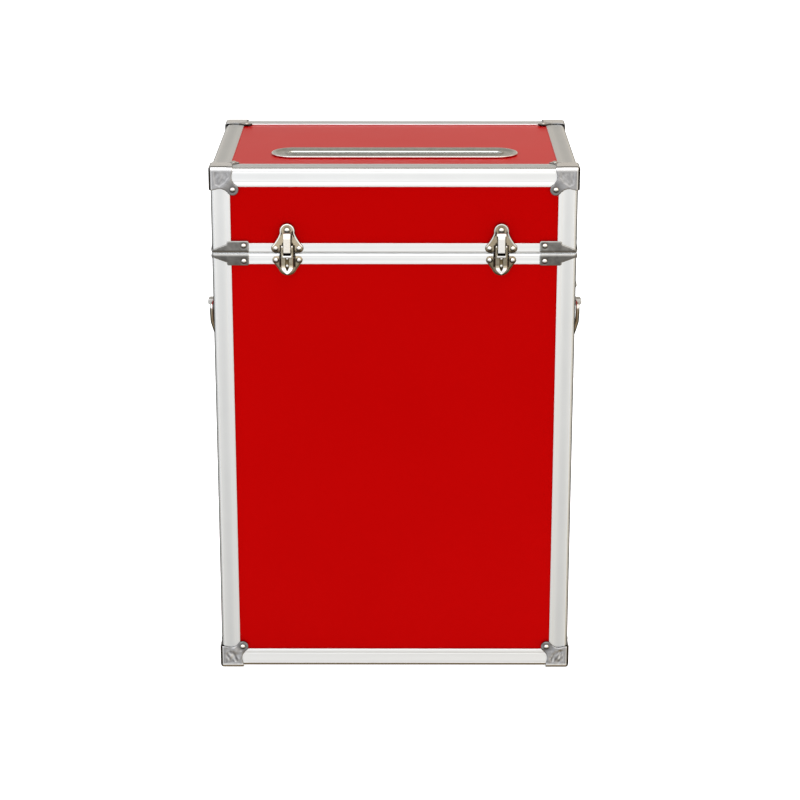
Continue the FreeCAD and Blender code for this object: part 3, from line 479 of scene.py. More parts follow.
def rim_section(kind):
    """A closing profile, as how far in from the face and how far from the split. The body's has a lip."""
    seen = rim_heights[kind]
    face = fluted(seen, 1.0, (3.2, 7.3), 0.04, 0.02)
    outer = [(1.0, 0.0), (0.5, 0.13), (0.13, 0.5)] + [(d, t) for t, d in face]
    step = 0.0 if kind == "body" else lip_height + lip_play - (lid_split - split)
    outer += [
        (0.1, seen - 0.1), (0.35, seen), (leg_thickness, seen), (leg_thickness, step + rim_web),
        (channel_end, step + rim_web), (channel_end, rim_height), (channel_wall, rim_height),
        (channel_wall, step),
    ]
    if kind == "lid":
        return outer + [(lip_start - lip_play, step), (lip_start - lip_play, 0.0)]
    lip_end = lip_start + lip_thickness
    return outer + [
        (lip_end, 0.0), (lip_end, 0.3 - lip_height), (lip_end - 0.3, -lip_height),
        (lip_start + 0.3, -lip_height), (lip_start, 0.3 - lip_height), (lip_start, 0.0),
    ]


for half, base, up, body in halves:
    def inset(b, d):
        return max(b, d / slopes[half] if d > 0 else inner_leg_width if d < 0 else 0.0)

    swept_round(
        rim_section(half), inset, base, up, body, lambda side: (half + "_rim_" + side, half + "_rim"), "rim"
    )


# Outlines, and sheet-metal surfaces from them

def rounded(points, radii, steps=4):
    """A closed outline with an arc at each corner that has a radius."""
    result = []
    count = len(points)
    for i, (x, y) in enumerate(points):
        radius = radii[i]
        here = np.array([x, y], float)
        if not radius:
            result.append(here)
            continue
        before = np.array(points[i - 1], float) - here
        after = np.array(points[(i + 1) % count], float) - here
        before_length, after_length = np.linalg.norm(before), np.linalg.norm(after)
        before, after = before / before_length, after / after_length
        half = math.acos(max(-1.0, min(1.0, float(before @ after)))) / 2
        cut = min(radius / math.tan(half), before_length * 0.49, after_length * 0.49)
        radius = cut * math.tan(half)
        middle = here + (before + after) / np.linalg.norm(before + after) * radius / math.sin(half)
        start, end = here + before * cut - middle, here + after * cut - middle
        turn = math.atan2(start[0] * end[1] - start[1] * end[0], float(start @ end))
        for k in range(steps + 1):
            angle = turn * k / steps
            result.append(middle + np.array([
                start[0] * math.cos(angle) - start[1] * math.sin(angle),
                start[0] * math.sin(angle) + start[1] * math.cos(angle),
            ]))
    return np.array(result)


def arc_through(first, middle, last, steps):
    """Points along the circle through three points, without the last."""
    a, b, c = (complex(*p) for p in (first, middle, last))
    ratio = (c - a) / (b - a)
    centre = a - (a - b) * (ratio - abs(ratio) ** 2) / 2j / ratio.imag
    start = math.atan2((a - centre).imag, (a - centre).real)
    sweep = math.atan2((c - centre).imag, (c - centre).real) - start
    through = (math.atan2((b - centre).imag, (b - centre).real) - start) % math.tau
    sweep %= math.tau
    if sweep < through:
        sweep -= math.tau
    x, y, radius = centre.real, centre.imag, abs(a - centre)
    angles = [start + sweep * k / steps for k in range(steps)]
    return [(x + radius * math.cos(angle), y + radius * math.sin(angle)) for angle in angles]


def circle_points(centre, radius, first, last, steps):
    """Points along a circle between two directions in degrees."""
    angles = [math.radians(first + (last - first) * k / steps) for k in range(steps + 1)]
    return [(centre[0] + radius * math.cos(angle), centre[1] + radius * math.sin(angle)) for angle in angles]


def with_mirror(points):
    """A right-hand side, from the middle line to the middle line, and its mirror image."""
    return points + [(-x, z) for x, z in reversed(points) if abs(x) > 1e-6]


def columns(*values):
    """Points from their values along each axis."""
    return np.stack(values, 1)


def inside(points, loop):
    """Which points lie inside a closed loop."""
    x, y = points[:, 0:1], points[:, 1:2]
    after = np.roll(loop, -1, 0)
    crosses = (loop[:, 1] > y) != (after[:, 1] > y)
    rise = np.where(np.abs(after[:, 1] - loop[:, 1]) < 1e-12, 1e-12, after[:, 1] - loop[:, 1])
    where = (after[:, 0] - loop[:, 0]) * (y - loop[:, 1]) / rise + loop[:, 0]
    return ((crosses & (x < where)).sum(1) % 2) == 1


def to_edge(points, loops):
    """How far each point is from the nearest of the loops."""
    best = np.full(len(points), 1e9)
    for loop in loops:
        along = np.roll(loop, -1, 0) - loop
        share = ((points[:, None] - loop) * along).sum(2) / np.maximum((along * along).sum(1), 1e-12)
        nearest = loop + np.clip(share, 0, 1)[..., None] * along
        best = np.minimum(best, np.linalg.norm(points[:, None] - nearest, axis=2).min(1))
    return best


def stepped(loop, spacing):
    """The loop with each straight side cut into equal steps."""
    result = []
    for here, after in zip(loop, np.roll(loop, -1, 0)):
        count = max(1, math.ceil(np.linalg.norm(after - here) / spacing))
        result += [here + (after - here) * k / count for k in range(count)]
    return np.array(result)


def filled(loop, holes, spacing, rings):
    """Points and triangles that fill an outline, with rows of points that follow its edges, and how far each
    point is from an edge."""
    loops = [stepped(np.asarray(each, float), spacing) for each in [loop] + list(holes)]

    def within(spots):
        """Which spots lie inside the outline and outside its holes."""
        return sum(inside(spots, each).astype(int) for each in loops) == 1

    points, edges = [], []
    for each in loops:
        first = len(points)
        points += list(each)
        edges += [(first + i, first + (i + 1) % len(each)) for i in range(len(each))]
    more = []
    for each in loops:
        along = np.roll(each, -1, 0) - np.roll(each, 1, 0)
        along /= np.maximum(np.linalg.norm(along, axis=1, keepdims=True), 1e-9)
        side = columns(-along[:, 1], along[:, 0])
        for ring in rings:
            for sign in (1, -1):
                moved = each + side * ring * sign
                keep = inside(moved, loops[0]) & (to_edge(moved, loops) > ring * 0.93)
                more.append(moved[keep])
    low, high = loops[0].min(0), loops[0].max(0)
    rows = np.arange(low[1], high[1], spacing * 0.866)
    grid = np.array([
        (x + (k % 2) * spacing / 2, y) for k, y in enumerate(rows) for x in np.arange(low[0], high[0], spacing)
    ])
    grid = grid[within(grid)]
    more.append(grid[to_edge(grid, loops) > max(rings) + spacing * 0.55])
    everything = [Vector(p) for p in points + list(np.concatenate(more))]
    verts, _, triangles, _, _, _ = delaunay_2d_cdt(everything, edges, [], 0, 1e-6)
    verts = np.array([tuple(v) for v in verts])
    triangles = np.array([t for t in triangles if len(t) == 3])
    triangles = triangles[within(verts[triangles].mean(1))]
    a, b, c = verts[triangles[:, 0]], verts[triangles[:, 1]], verts[triangles[:, 2]]
    area = (b[:, 0] - a[:, 0]) * (c[:, 1] - a[:, 1]) - (b[:, 1] - a[:, 1]) * (c[:, 0] - a[:, 0])
    triangles[area < 0] = triangles[area < 0][:, ::-1]
    return verts, triangles, to_edge(verts, loops)


def walled(top, bottom, triangles):
    """A closed shell from two matching surfaces and the walls between their free edges."""
    count = len(top)
    seen = {}
    for t in triangles:
        for i in range(3):
            edge = (int(t[i]), int(t[(i + 1) % 3]))
            seen[tuple(sorted(edge))] = edge if tuple(sorted(edge)) not in seen else None
    faces = [tuple(t) for t in triangles] + [tuple(int(i) + count for i in t[::-1]) for t in triangles]
    faces += [(b, a, a + count, b + count) for a, b in filter(None, seen.values())]
    return np.concatenate([top, bottom]), faces


def shell(top, bottom, triangles, rub, soil, behind=None):
    """A closed shell as its points, faces, painted highlight and painted shade. Its back gets no painted
    highlight, and has the same painted shade as the front where no value is given."""
    points, faces = walled(top, bottom, triangles)
    under = soil if behind is None else np.full(len(soil), behind)
    return points, faces, np.concatenate([rub, rub * 0]), np.concatenate([soil, under])


def joined(shells):
    """Several shells as one."""
    first, faces = 0, []
    for points, shell_faces, _, _ in shells:
        faces += [tuple(i + first for i in face) for face in shell_faces]
        first += len(points)
    points, rub, soil = (np.concatenate([each[k] for each in shells]) for k in (0, 2, 3))
    return points, faces, rub, soil


def made_shell(node, whole, finish, body, smooth):
    """A piece from a shell, in place of a CAD node."""
    points, faces, rub, soil = whole
    made(node + "_made", points, faces, finish, body, [node], smooth, rub=rub, soil=soil)


def at_corner(points, flip_x, flip_y, level, up):
    """Points round the corner of the axes, moved to one of the box's corners."""
    x, y, z = points.T
    return columns((x - half_width) * flip_x, (y - half_depth) * flip_y, level + z * up)


def eased(x, low, high):
    """0 below low, 1 above high, and a smooth rise between."""
    t = np.clip((np.asarray(x, float) - low) / (high - low), 0, 1)
    return t * t * (3 - 2 * t)


def faded(x, low, high):
    """1 below low, 0 above high, and a smooth fall between."""
    return 1 - eased(x, low, high)


def peak(x, middle, width):
    """1 at the middle, and a smooth fall to both sides."""
    return np.exp(-(((x - middle) / width) ** 2))


def wobble(points, size, seed):
    """Smooth random numbers between about -1 and 1, one for each point."""
    return np.array([noise.noise(Vector((p[0] / size, p[1] / size, seed))) for p in points])


# Stamped corner covers

def cover_outline():
    """One face of a cover, from the box's corner: a square whose far corner is drawn out into an ear."""
    near = -cover_stand
    neck = [
        (cover_size, 0.6), (cover_size - 0.1, 2.6), (cover_size - 0.75, 5.0), (cover_size - 1.3, 7.6),
        (cover_size - 1.2, 10.4), (cover_size - 0.2, 13.0),
    ]
    outline = [(near, near), (cover_size - 0.5, near), (cover_size, near + 0.5)] + neck
    outline += circle_points((ear_centre, ear_centre), ear_radius, -62, 152, 16)
    outline += [(b, a) for a, b in reversed(neck)]
    return outline + [(near + 0.5, cover_size), (near, cover_size - 0.5)]


dish_outline = np.array([(3.2, 3.2), (15.6, 4.3), (17.2, 8.6), (13.6, 13.6), (8.6, 17.2), (4.3, 15.6)])


def stamped_corner(seed, tilt, crumple):
    """A cover at the corner of the axes, on the negative side, as a shell. Its level face leans by a slope
    along the depth, and nowhere stands further out than a flat sheet would. aside, ahead and over say how far
    the surface faces to the side, to the front or back, and up or down."""
    flat, triangles, edge = filled(cover_outline(), [], 0.75, (0.35,))
    both, least, most = flat.sum(1), flat.min(1), flat.max(1)
    dish = np.where(inside(flat, dish_outline), 1, -1) * to_edge(flat, [dish_outline])
    rivet = np.hypot(flat[:, 0] - ear_centre, flat[:, 1] - ear_centre)
    points, normals, painted_highlights, painted_shades, all_triangles = [], [], [], [], []
    for turn in range(3):
        is_level = turn == 2
        spot = np.zeros((len(flat), 3))
        spot[:, turn] = -cover_stand
        spot[:, (turn + 1) % 3] = flat[:, 0]
        spot[:, (turn + 2) % 3] = flat[:, 1]
        core = np.maximum(spot, cover_round - cover_stand)
        normal = spot - core
        normal /= np.linalg.norm(normal, axis=1, keepdims=True)
        height = -0.15 * eased(dish, -0.9, 1.4)
        height += 0.10 * eased(dish, 1.2, 5.0) * (1 + 0.8 * wobble(flat, 5.0, seed + turn))
        height -= 0.55 * eased(both, 29.0, 38.0) * eased(least, 4.0, 12.0)
        height += 0.05 * crumple * wobble(flat, 3.4, seed + 7 * turn) * eased(least, 1.0, 5.0)
        height += 0.02 * wobble(flat, 1.3, seed + 5 * turn) * eased(least, 1.0, 5.0)
        if is_level:
            height -= np.abs(tilt) * (flat[:, 1] if tilt > 0 else 20.0 - np.clip(flat[:, 1], 0, 20))
        height -= 0.22 * faded(edge, 0.0, 0.55) * eased(most, 14.0, 19.0)
        if is_level:
            height = np.minimum(height, 0.0)
        outer = core + normal * (cover_round + height[:, None])
        points.append(outer)
        normals.append(normal)
        all_triangles.append(triangles + turn * len(flat))
        # Painted highlights on the dish's crease, all over the level face, on the folds, on a strip near the
        # side, in a band along the front face next to the box's edge and in light streaks; painted shade in the
        # hollow towards the ear, along the rounded edges to the side and to the level face, in dark streaks,
        # round the ear's rivet and along the ear's edge.
        crease = peak(dish, 0.0, 0.45)
        aside, ahead, over = np.abs(normal).T
        folded = eased(np.minimum(ahead, over), 0.0, 0.2) * faded(aside, 0.2, 0.4)
        lit = eased(aside, 0.05, 0.13) * faded(aside, 0.27, 0.38) * (ahead > 0.1)
        band = (ahead > 0.9) * faded(outer[:, 2], 2.5, 3.1) * eased(outer[:, 0], -0.9, 0.3)
        streaks = wobble(flat @ np.array([[1.0, 0.45], [-0.45, 1.0]]) * (0.4, 1.0), 2.2, seed + 3 * turn)
        streaks *= 0.3 * crumple * eased(dish, 0.0, 0.6) * (not is_level)
        rub = 0.2 * crease + 1.0 * is_level + folded + lit + 0.9 * band + np.maximum(streaks, 0)
        soil = 0.45 * eased(both, 30.0, 38.0) * eased(least, 5.0, 12.0)
        soil += eased(aside, 0.31, 0.42) * eased(ahead, 0.0, 0.12) * faded(over, 0.5, 0.7)
        soil += 0.5 * eased(over, 0.60, 0.68) * faded(over, 0.95, 0.99) * eased(ahead, 0.2, 0.35)
        soil += np.maximum(-0.6 * streaks, 0) + 0.35 * faded(rivet, 2.6, 3.4)
        soil += 0.5 * faded(edge, 0.0, 0.2) * eased(most, 14.0, 19.0)
        painted_highlights.append(np.clip(rub, 0, 1))
        painted_shades.append(np.clip(soil, 0, 1))
    points, normals, triangles, rub, soil = map(np.concatenate, (points, normals, all_triangles, painted_highlights, painted_shades))
    keys = {}
    merged = np.array([keys.setdefault(tuple(np.round(p, 4)), i) for i, p in enumerate(points)])
    return shell(points, points - normals * 0.8, merged[triangles], rub, soil)


for number, (corner, flip_x, flip_y) in enumerate(corners):
    for end, level, up, body in ends:
        at_bottom = end == "bottom"
        seed, crumple = number * 3.7 + at_bottom * 11.3, 6.0 if at_bottom else 1.3
        points, *rest = stamped_corner(seed, 0.02 * flip_y, crumple)
        cover = (at_corner(points, flip_x, flip_y, level, up), *rest)
        made_shell(end + "_corner_" + corner, cover, "cover", body, 50.0)


# Knee braces at the split

def brace_outline():
    """A brace laid flat: along is measured both ways from the upright edge, and up from the split."""
    leg = [
        (brace_length - 1.2, 0.75), (brace_length - 0.3, 1.05), (brace_length, 1.8), (brace_length, 10.0),
        (brace_length - 0.4, 11.0), (brace_length - 1.4, 11.5), (brace_start + 1.4, 11.5),
        (brace_start + 0.4, 11.0), (brace_start, 10.0), (brace_start, 8.7), (2.0, 4.1), (0.0, 3.6), (0.0, 0.7),
    ]
    return leg + [(-x, y) for x, y in reversed(leg[:-1])]


def brace_shell():
    """A brace bent round the upright edge at the corner of the axes, as a shell."""
    flat, triangles, edge = filled(brace_outline(), [], 1.0, (0.3,))
    radius = edge_round + brace_sheet
    quarter = radius * math.pi / 2
    along, rise = flat[:, 0], flat[:, 1]
    angle = np.clip((along + quarter / 2) / quarter, 0, 1) * math.pi / 2
    normal = columns(-np.cos(angle), -np.sin(angle), 0 * angle)
    right, left = (edge_round + np.maximum(side * along - quarter / 2, 0) for side in (1, -1))
    at = columns(right, left, rise)
    rivet = np.hypot(np.abs(along) - (brace_length - brace_rivet_in), rise - brace_rivet_up)
    height = -0.22 * faded(edge, 0.0, 0.4) - 0.25 * faded(rivet, 2.6, 4.2) - 0.06 * rise
    height -= 0.45 * faded(rise, 0.8, 2.4)
    height += 0.07 * wobble(flat, 7.0, 2.5)
    # Painted highlight along the edges; painted shade round the rivet and on the outermost edge.
    rub = 0.4 * faded(edge, 0.1, 0.8)
    soil = np.clip(0.6 * faded(rivet, 2.5, 3.3) + 0.5 * faded(edge, 0.0, 0.2), 0, 1)
    outer, inner = at + normal * (radius + height)[:, None], at + normal * (edge_round + 0.05)
    return shell(outer, inner, triangles, rub, soil)


points, *rest = brace_shell()
for half, base, up, body in halves:
    braces = joined([(at_corner(points, flip_x, flip_y, base, up), *rest) for _, flip_x, flip_y in corners])
    made_shell(half + "_knee_braces", braces, "brace", body, 50.0)


# Rivets

def ring_faces(rows, count, closed=False):
    """Faces between rings of points, and from the last ring to the first where they are closed."""
    faces = []
    for row in range(rows if closed else rows - 1):
        below = (row + 1) % rows
        for k in range(count):
            after = (k + 1) % count
            faces.append((row * count + k, row * count + after, below * count + after, below * count + k))
    return faces


def turned_shape(name, profile_points, steps=20):
    """A small round template from a profile of radius and height."""
    angles = [math.tau * k / steps for k in range(steps)]
    points = [
        (radius * math.cos(angle), radius * math.sin(angle), height)
        for radius, height in profile_points for angle in angles
    ]
    last = len(points) - steps
    caps = [tuple(range(steps))[::-1], tuple(range(last, len(points)))]
    mesh = bpy.data.meshes.new(name)
    mesh.from_pydata(points, [], ring_faces(len(profile_points), steps) + caps)
    return shown(name, mesh)


def setting_tree(template):
    """Sets a template on each point, turned to the point's direction."""
    tree = bpy.data.node_groups.new("set rivets", "GeometryNodeTree")
    tree.interface.new_socket("Geometry", in_out="INPUT", socket_type="NodeSocketGeometry")
    for label, value in (("Head Radius", 0.0025), ("Head Height", 0.0012)):
        tree.interface.new_socket(label, in_out="INPUT", socket_type="NodeSocketFloat").default_value = value
    tree.interface.new_socket("Seed", in_out="INPUT", socket_type="NodeSocketInt").default_value = 3
    tree.interface.new_socket("Geometry", in_out="OUTPUT", socket_type="NodeSocketGeometry")
    add = adder(tree)
    start = add("NodeGroupInput").outputs
    head = add("GeometryNodeObjectInfo", Object=template)
    facing = add("GeometryNodeInputNamedAttribute", data_type="FLOAT_VECTOR", Name="facing")
    aim = add("FunctionNodeAlignRotationToVector", Vector=facing.outputs["Attribute"], axis="Z")
    radius, height = start["Head Radius"], start["Head Height"]
    scale = add("ShaderNodeCombineXYZ", X=radius, Y=radius, Z=height)
    put = add(
        "GeometryNodeInstanceOnPoints", Points=start["Geometry"], Instance=head.outputs["Geometry"],
        Rotation=aim.outputs["Rotation"], Scale=scale.outputs["Vector"],
    )
    spin = add("FunctionNodeRandomValue", {3: math.tau}, data_type="FLOAT", Seed=start["Seed"])
    turn = add("ShaderNodeCombineXYZ", Z=spin.outputs[1])
    rotate = add(
        "GeometryNodeRotateInstances", Instances=put.outputs["Instances"], Rotation=turn.outputs["Vector"]
    )
    real = add("GeometryNodeRealizeInstances", Geometry=rotate.outputs["Instances"])
    plate = add("GeometryNodeSetMaterial", Geometry=real.outputs["Geometry"], Material=finishes["rivet"])
    add("NodeGroupOutput", Geometry=plate.outputs["Geometry"])
    return tree


head_shape = turned_shape("rivet_head", [
    (0.98, 0.0), (1.0, 0.10), (0.98, 0.22), (0.90, 0.44), (0.76, 0.68), (0.56, 0.87), (0.32, 0.97), (0.10, 1.0),
])
tail_shape = turned_shape("rivet_tail", [
    (1.0, 0.0), (1.0, 0.5), (0.93, 0.62), (0.66, 0.96), (0.52, 1.0), (0.42, 0.92), (0.36, 0.45), (0.12, 0.35),
])
trees = {"head": setting_tree(head_shape), "tail": setting_tree(tail_shape)}

head_radius, head_height, flat_head_height = 2.5, 1.2, 0.5
tail_radius, tail_height = 2.2, 1.5
rivets = {"cabinet": [], "lid": []}


def add_rivet(body, seat, inwards, grip, flat=False):
    """Notes a rivet: where its head sits, which way it goes in, and how thick the sheets under it are."""
    rivets[body].append((np.array(seat, float), np.array(inwards, float), grip, flat))


def add_corner_rivet(body, seat, inwards, grip, flat=False):
    """The same rivet at each corner of the box."""
    for flip_x in (1, -1):
        for flip_y in (1, -1):
            turned = np.array((flip_x, flip_y, 1.0))
            add_rivet(body, np.array(seat) * turned, np.array(inwards) * turned, grip, flat)


for end, level, up, body in ends:
    x, y, z = ear_centre - half_width, ear_centre - half_depth, level + up * ear_centre
    add_corner_rivet(body, (x, -half_depth - cover_sheet, z), (0, 1, 0), cover_sheet + panel_in)
    add_corner_rivet(body, (-half_width - cover_side_sheet, y, z), (1, 0, 0), cover_side_sheet + panel_in)
    add_corner_rivet(
        body, (x, y, level - up * cover_sheet), (0, 0, up), cover_sheet + panel_in, body == "cabinet"
    )
for half, base, up, body in halves:
    along, z = brace_length - brace_rivet_in, base + up * brace_rivet_up
    grip = brace_sheet + channel_wall
    add_corner_rivet(body, (along - half_width, -half_depth - brace_sheet, z), (0, 1, 0), grip)
    add_corner_rivet(body, (-half_width - brace_sheet, along - half_depth, z), (1, 0, 0), grip)
for x in (-latch_x, latch_x):
    y, grip = -half_depth - latch_sheet, latch_sheet + channel_wall
    for sign in (-1, 1):
        add_rivet("lid", (x + sign * strike_rivet_x, y, split + strike_rivet_up), (0, 1, 0), grip)
        add_rivet("cabinet", (x + sign * base_rivet_x, y, split - base_rivet_down), (0, 1, 0), grip)
    add_rivet("lid", (x, y, split + strike_top_rivet_up), (0, 1, 0), latch_sheet + panel_in)
for half, base, up, body in halves:
    y, z, grip = half_depth + hinge_sheet, base + up * hinge_rivet_up, hinge_sheet + channel_wall
    for x in (-hinge_x, hinge_x):
        for step in (-hinge_rivet_step, 0.0, hinge_rivet_step):
            add_rivet(body, (x + step, y, z), (0, -1, 0), grip)
for side in (-1, 1):
    for y in (-handle_rivet_y, handle_rivet_y):
        for z in handle_rivet_heights:
            add_rivet("cabinet", (side * (half_width - 0.1), y, z), (-side, 0, 0), panel_in - 0.1)


def set_rivets(body, node):
    """All of a body's rivet heads and tails as one piece."""
    heads = [
        (seat, -inwards, head_radius, flat_head_height if flat else head_height, "head")
        for seat, inwards, grip, flat in rivets[body]
    ]
    tails = [
        (seat + inwards * grip, inwards, tail_radius, tail_height, "tail")
        for seat, inwards, grip, flat in rivets[body]
    ]
    groups = {}
    for seat, facing, radius, height, kind in heads + tails:
        groups.setdefault((radius, height, kind), []).append((seat, facing))
    build = bmesh.new()
    for (radius, height, kind), members in groups.items():
        mesh = bpy.data.meshes.new("seats")
        mesh.from_pydata([tuple(seat * 0.001) for seat, _ in members], [], [])
        attribute = mesh.attributes.new("facing", "FLOAT_VECTOR", "POINT")
        attribute.data.foreach_set("vector", np.array([f for _, f in members], np.float32).ravel())
        seats = shown("seats", mesh)
        modifier = seats.modifiers.new("rivets", "NODES")
        modifier.node_group = trees[kind]
        sockets = trees[kind].interface.items_tree
        inputs = {item.name: item.identifier for item in sockets if item.in_out == "INPUT"}
        modifier[inputs["Head Radius"]] = radius * 0.001
        modifier[inputs["Head Height"]] = height * 0.001
        modifier[inputs["Seed"]] = 3
        build.from_mesh(carried_out(seats))
        bpy.data.objects.remove(seats)
    mesh = bpy.data.meshes.new(node + "_made")
    build.to_mesh(mesh)
    build.free()
    mesh.materials.clear()
    mesh.materials.append(finishes["rivet"])
    mesh.shade_smooth()
    mesh.set_sharp_from_angle(angle=math.radians(50.0))
    # Painted shade on the downward-facing sides of the heads and tails.
    mark(mesh, "soil", 0.9 * eased([-v.normal.z for v in mesh.vertices], -0.08, 0.3))
    settle(shown(body + "_rivets_made", mesh), body, [node])


set_rivets("cabinet", "body_rivets")
set_rivets("lid", "lid_rivets")
for template in (head_shape, tail_shape):
    bpy.data.objects.remove(template)


# Slot plate

def slot_plate():
    """A pressed plate round the slot. Its section runs in rings of one straight length and changing radius."""
    section = [
        (19.9, 0.0), (20.35, 0.35), (20.8, 0.8), (21.0, 1.25), (20.9, 1.65), (20.5, 2.05), (19.9, 2.3),
        (19.2, 2.4), (18.5, 2.35), (17.7, 2.2), (16.8, 1.9), (15.8, 1.5), (14.8, 1.2), (13.2, 1.0),
        (11.0, 0.92), (9.2, 0.95), (8.2, 1.1), (7.5, 1.42), (7.0, 1.8), (6.5, 2.0), (6.0, 1.98), (5.65, 1.75),
        (5.5, 1.3), (5.5, -2.0), (5.5, -4.9), (5.7, -5.2), (6.5, -5.2), (6.7, -4.9), (6.7, -0.2), (6.9, 0.0),
    ]
    arc_steps, straight_steps = 26, 14
    around = []
    for side in (1, -1):
        end, quarter = side * slot_straight, side * math.pi / 2
        around += [(end, math.pi * k / arc_steps - quarter) for k in range(arc_steps + 1)]
        around += [(end * (1 - 2 * k / straight_steps), quarter) for k in range(1, straight_steps)]
    level = rail_top - panel_out
    points = [
        (middle + radius * math.cos(angle), slot_centre + radius * math.sin(angle), level + height)
        for radius, height in section for middle, angle in around
    ]
    r, h = np.array(section).T
    # Painted highlight on the outer rolled rim and the collar's top, and a faint one over the crown of the
    # bead.
    rub = np.where((r > 19.5) & (h > 0.3) | (r < 5.6) & (h > 0.5), 1.0, 0.25 * (h > 1.9))
    made(
        "slot_plate_made", points, ring_faces(len(section), len(around), closed=True), "slot", "lid",
        ["slot_plate"], 50.0, rub=np.repeat(rub, len(around)),
    )


slot_plate()


# Latches: pressed sheets whose height follows the distance to their own edges

# Painted shade for the backs of the latch sheets and other hidden faces.
hidden_shade = 0.9


def sheet(flat, triangles, out, rub, soil):
    """A shell between a surface and a flat back, as x, how far out, and how far up."""
    top, bottom = (columns(flat[:, 0], y, flat[:, 1]) for y in (out, np.zeros(len(flat))))
    return shell(top, bottom, triangles, rub, np.clip(soil, 0, 1), hidden_shade)


def strike_sheet():
    """The strike: a bell with a raised rim, a hollow ring round its top rivet and a lobe on each side."""
    lobe_centre, lobe_radius, lobe_end = (strike_rivet_x, strike_rivet_up), 4.4, 38
    start = circle_points(lobe_centre, lobe_radius, lobe_end, -90, 12)
    side = (6.9, 19.7)
    waist = ((side[0] + start[0][0]) / 2 - 0.85, (side[1] + start[0][1]) / 2)
    right = arc_through((0.0, 28.7), (5.589, 25.82), side, 12) + arc_through(side, waist, start[0], 10)
    right += start + [(7.4, 0.6), (7.4, 1.6)]
    flat, triangles, edge = filled(with_mirror(right), [], 0.6, (0.25, 0.55, 0.9, 1.3))
    x, z = flat[:, 0], flat[:, 1]
    rim = eased(z, 4.6, 7.2)
    top = np.hypot(x, z - strike_top_rivet_up)
    lobe = np.hypot(np.abs(x) - strike_rivet_x, z - strike_rivet_up)
    out = 1.0 - 0.3 * faded(edge, 0.0, 0.22) - 0.1 * eased(edge, 2.0, 5.0)
    out += rim * 0.30 * (eased(edge, -0.1, 0.8) - eased(edge, 0.8, 2.4))
    out -= 0.7 * faded(edge, 0.0, 2.2) * faded(z, 3.0, 6.8) * eased(np.abs(x), 6.6, 8.6)
    out += -0.2 * peak(top, 3.1, 0.4)
    out += 0.02 * wobble(flat, 4.0, 8.0)
    # Painted highlight on the raised rim; painted shade along the outline, round the top rivet and the lobe
    # rivets, towards the bottom, in the gaps beside the lever's fork, and as the tongue's cast shadow beside
    # it.
    rub = np.clip(rim * (eased(edge, 0.25, 0.5) - eased(edge, 1.2, 1.8)), 0, 1)
    soil = 0.9 * faded(edge, 0.1, 0.45) + 0.85 * peak(top, 2.9, 0.42)
    soil += 0.5 * peak(lobe, 2.8, 0.4) * (z < 5.5) + 0.7 * faded(z, 1.2, 4.2)
    soil += faded(np.maximum(np.abs(x) - 7.0, z - 8.0), -0.1, 0.4)
    soil += 0.75 * faded(np.abs(x - 4.0), 0.35, 0.8) * (z < 18.5)
    return sheet(flat, triangles, out, rub, soil)


def bent_path(corners, radii):
    """Points and outward normals along a path of out and up values with rounded corners, and its length."""
    closed = rounded(
        corners + [(corners[-1][0] - 500, corners[-1][1]), (corners[0][0] - 500, corners[0][1])],
        [0] + radii + [0, 0, 0], 6,
    )[:-2]
    steps = np.concatenate([[0.0], np.cumsum(np.linalg.norm(np.diff(closed, axis=0), axis=1))])

    def place(s):
        return columns(*(np.interp(s, steps, closed[:, k]) for k in (0, 1)))

    def at(s):
        along = place(s + 0.12) - place(s - 0.12)
        along /= np.linalg.norm(along, axis=1, keepdims=True)
        return place(s), columns(-along[:, 1], along[:, 0])

    return at, steps[-1]


def tongue_sheet(foot, highlight_tone):
    """The tongue: a shelf, a fold, and a strip that hangs down and turns in at its end."""
    at, length = bent_path(
        [(0.5, 20.8), (6.1, 20.8), (8.5, 17.5), (8.85, 16.2), (10.1, 2.2), (8.2, 2.2)], [1.2, 2.4, 8.0, 0.5]
    )
    outline = [(foot, 0.0), (foot, 8.2), (foot - 0.2, 8.6), (3.4, 8.8), (3.35, 12.0), (3.35, length)]
    flat, triangles, edge = filled(with_mirror(outline), [], 0.5, (0.2,))
    x, s = flat[:, 0], flat[:, 1]
    place, normal = at(s)
    drop = 0.22 * faded(edge, 0.0, 0.4) * (s > 0.5)
    top, under = (
        columns(x, side[:, 0], side[:, 1]) for side in (place - normal * drop[:, None], place - normal * 0.85)
    )
    # Painted shade: a little all over, along the edges, on the shelf next to the plate and on the turned-in
    # end; and an even painted highlight at the given tone.
    soil = np.maximum(0.12 + 0.7 * faded(edge, 0.0, 0.2), 0.85 * faded(s, 4.8, 5.9))
    soil = np.maximum(soil, 0.95 * eased(s, length - 2.6, length - 2.1))
    return shell(top, under, triangles, np.full(len(flat), highlight_tone), soil, hidden_shade)


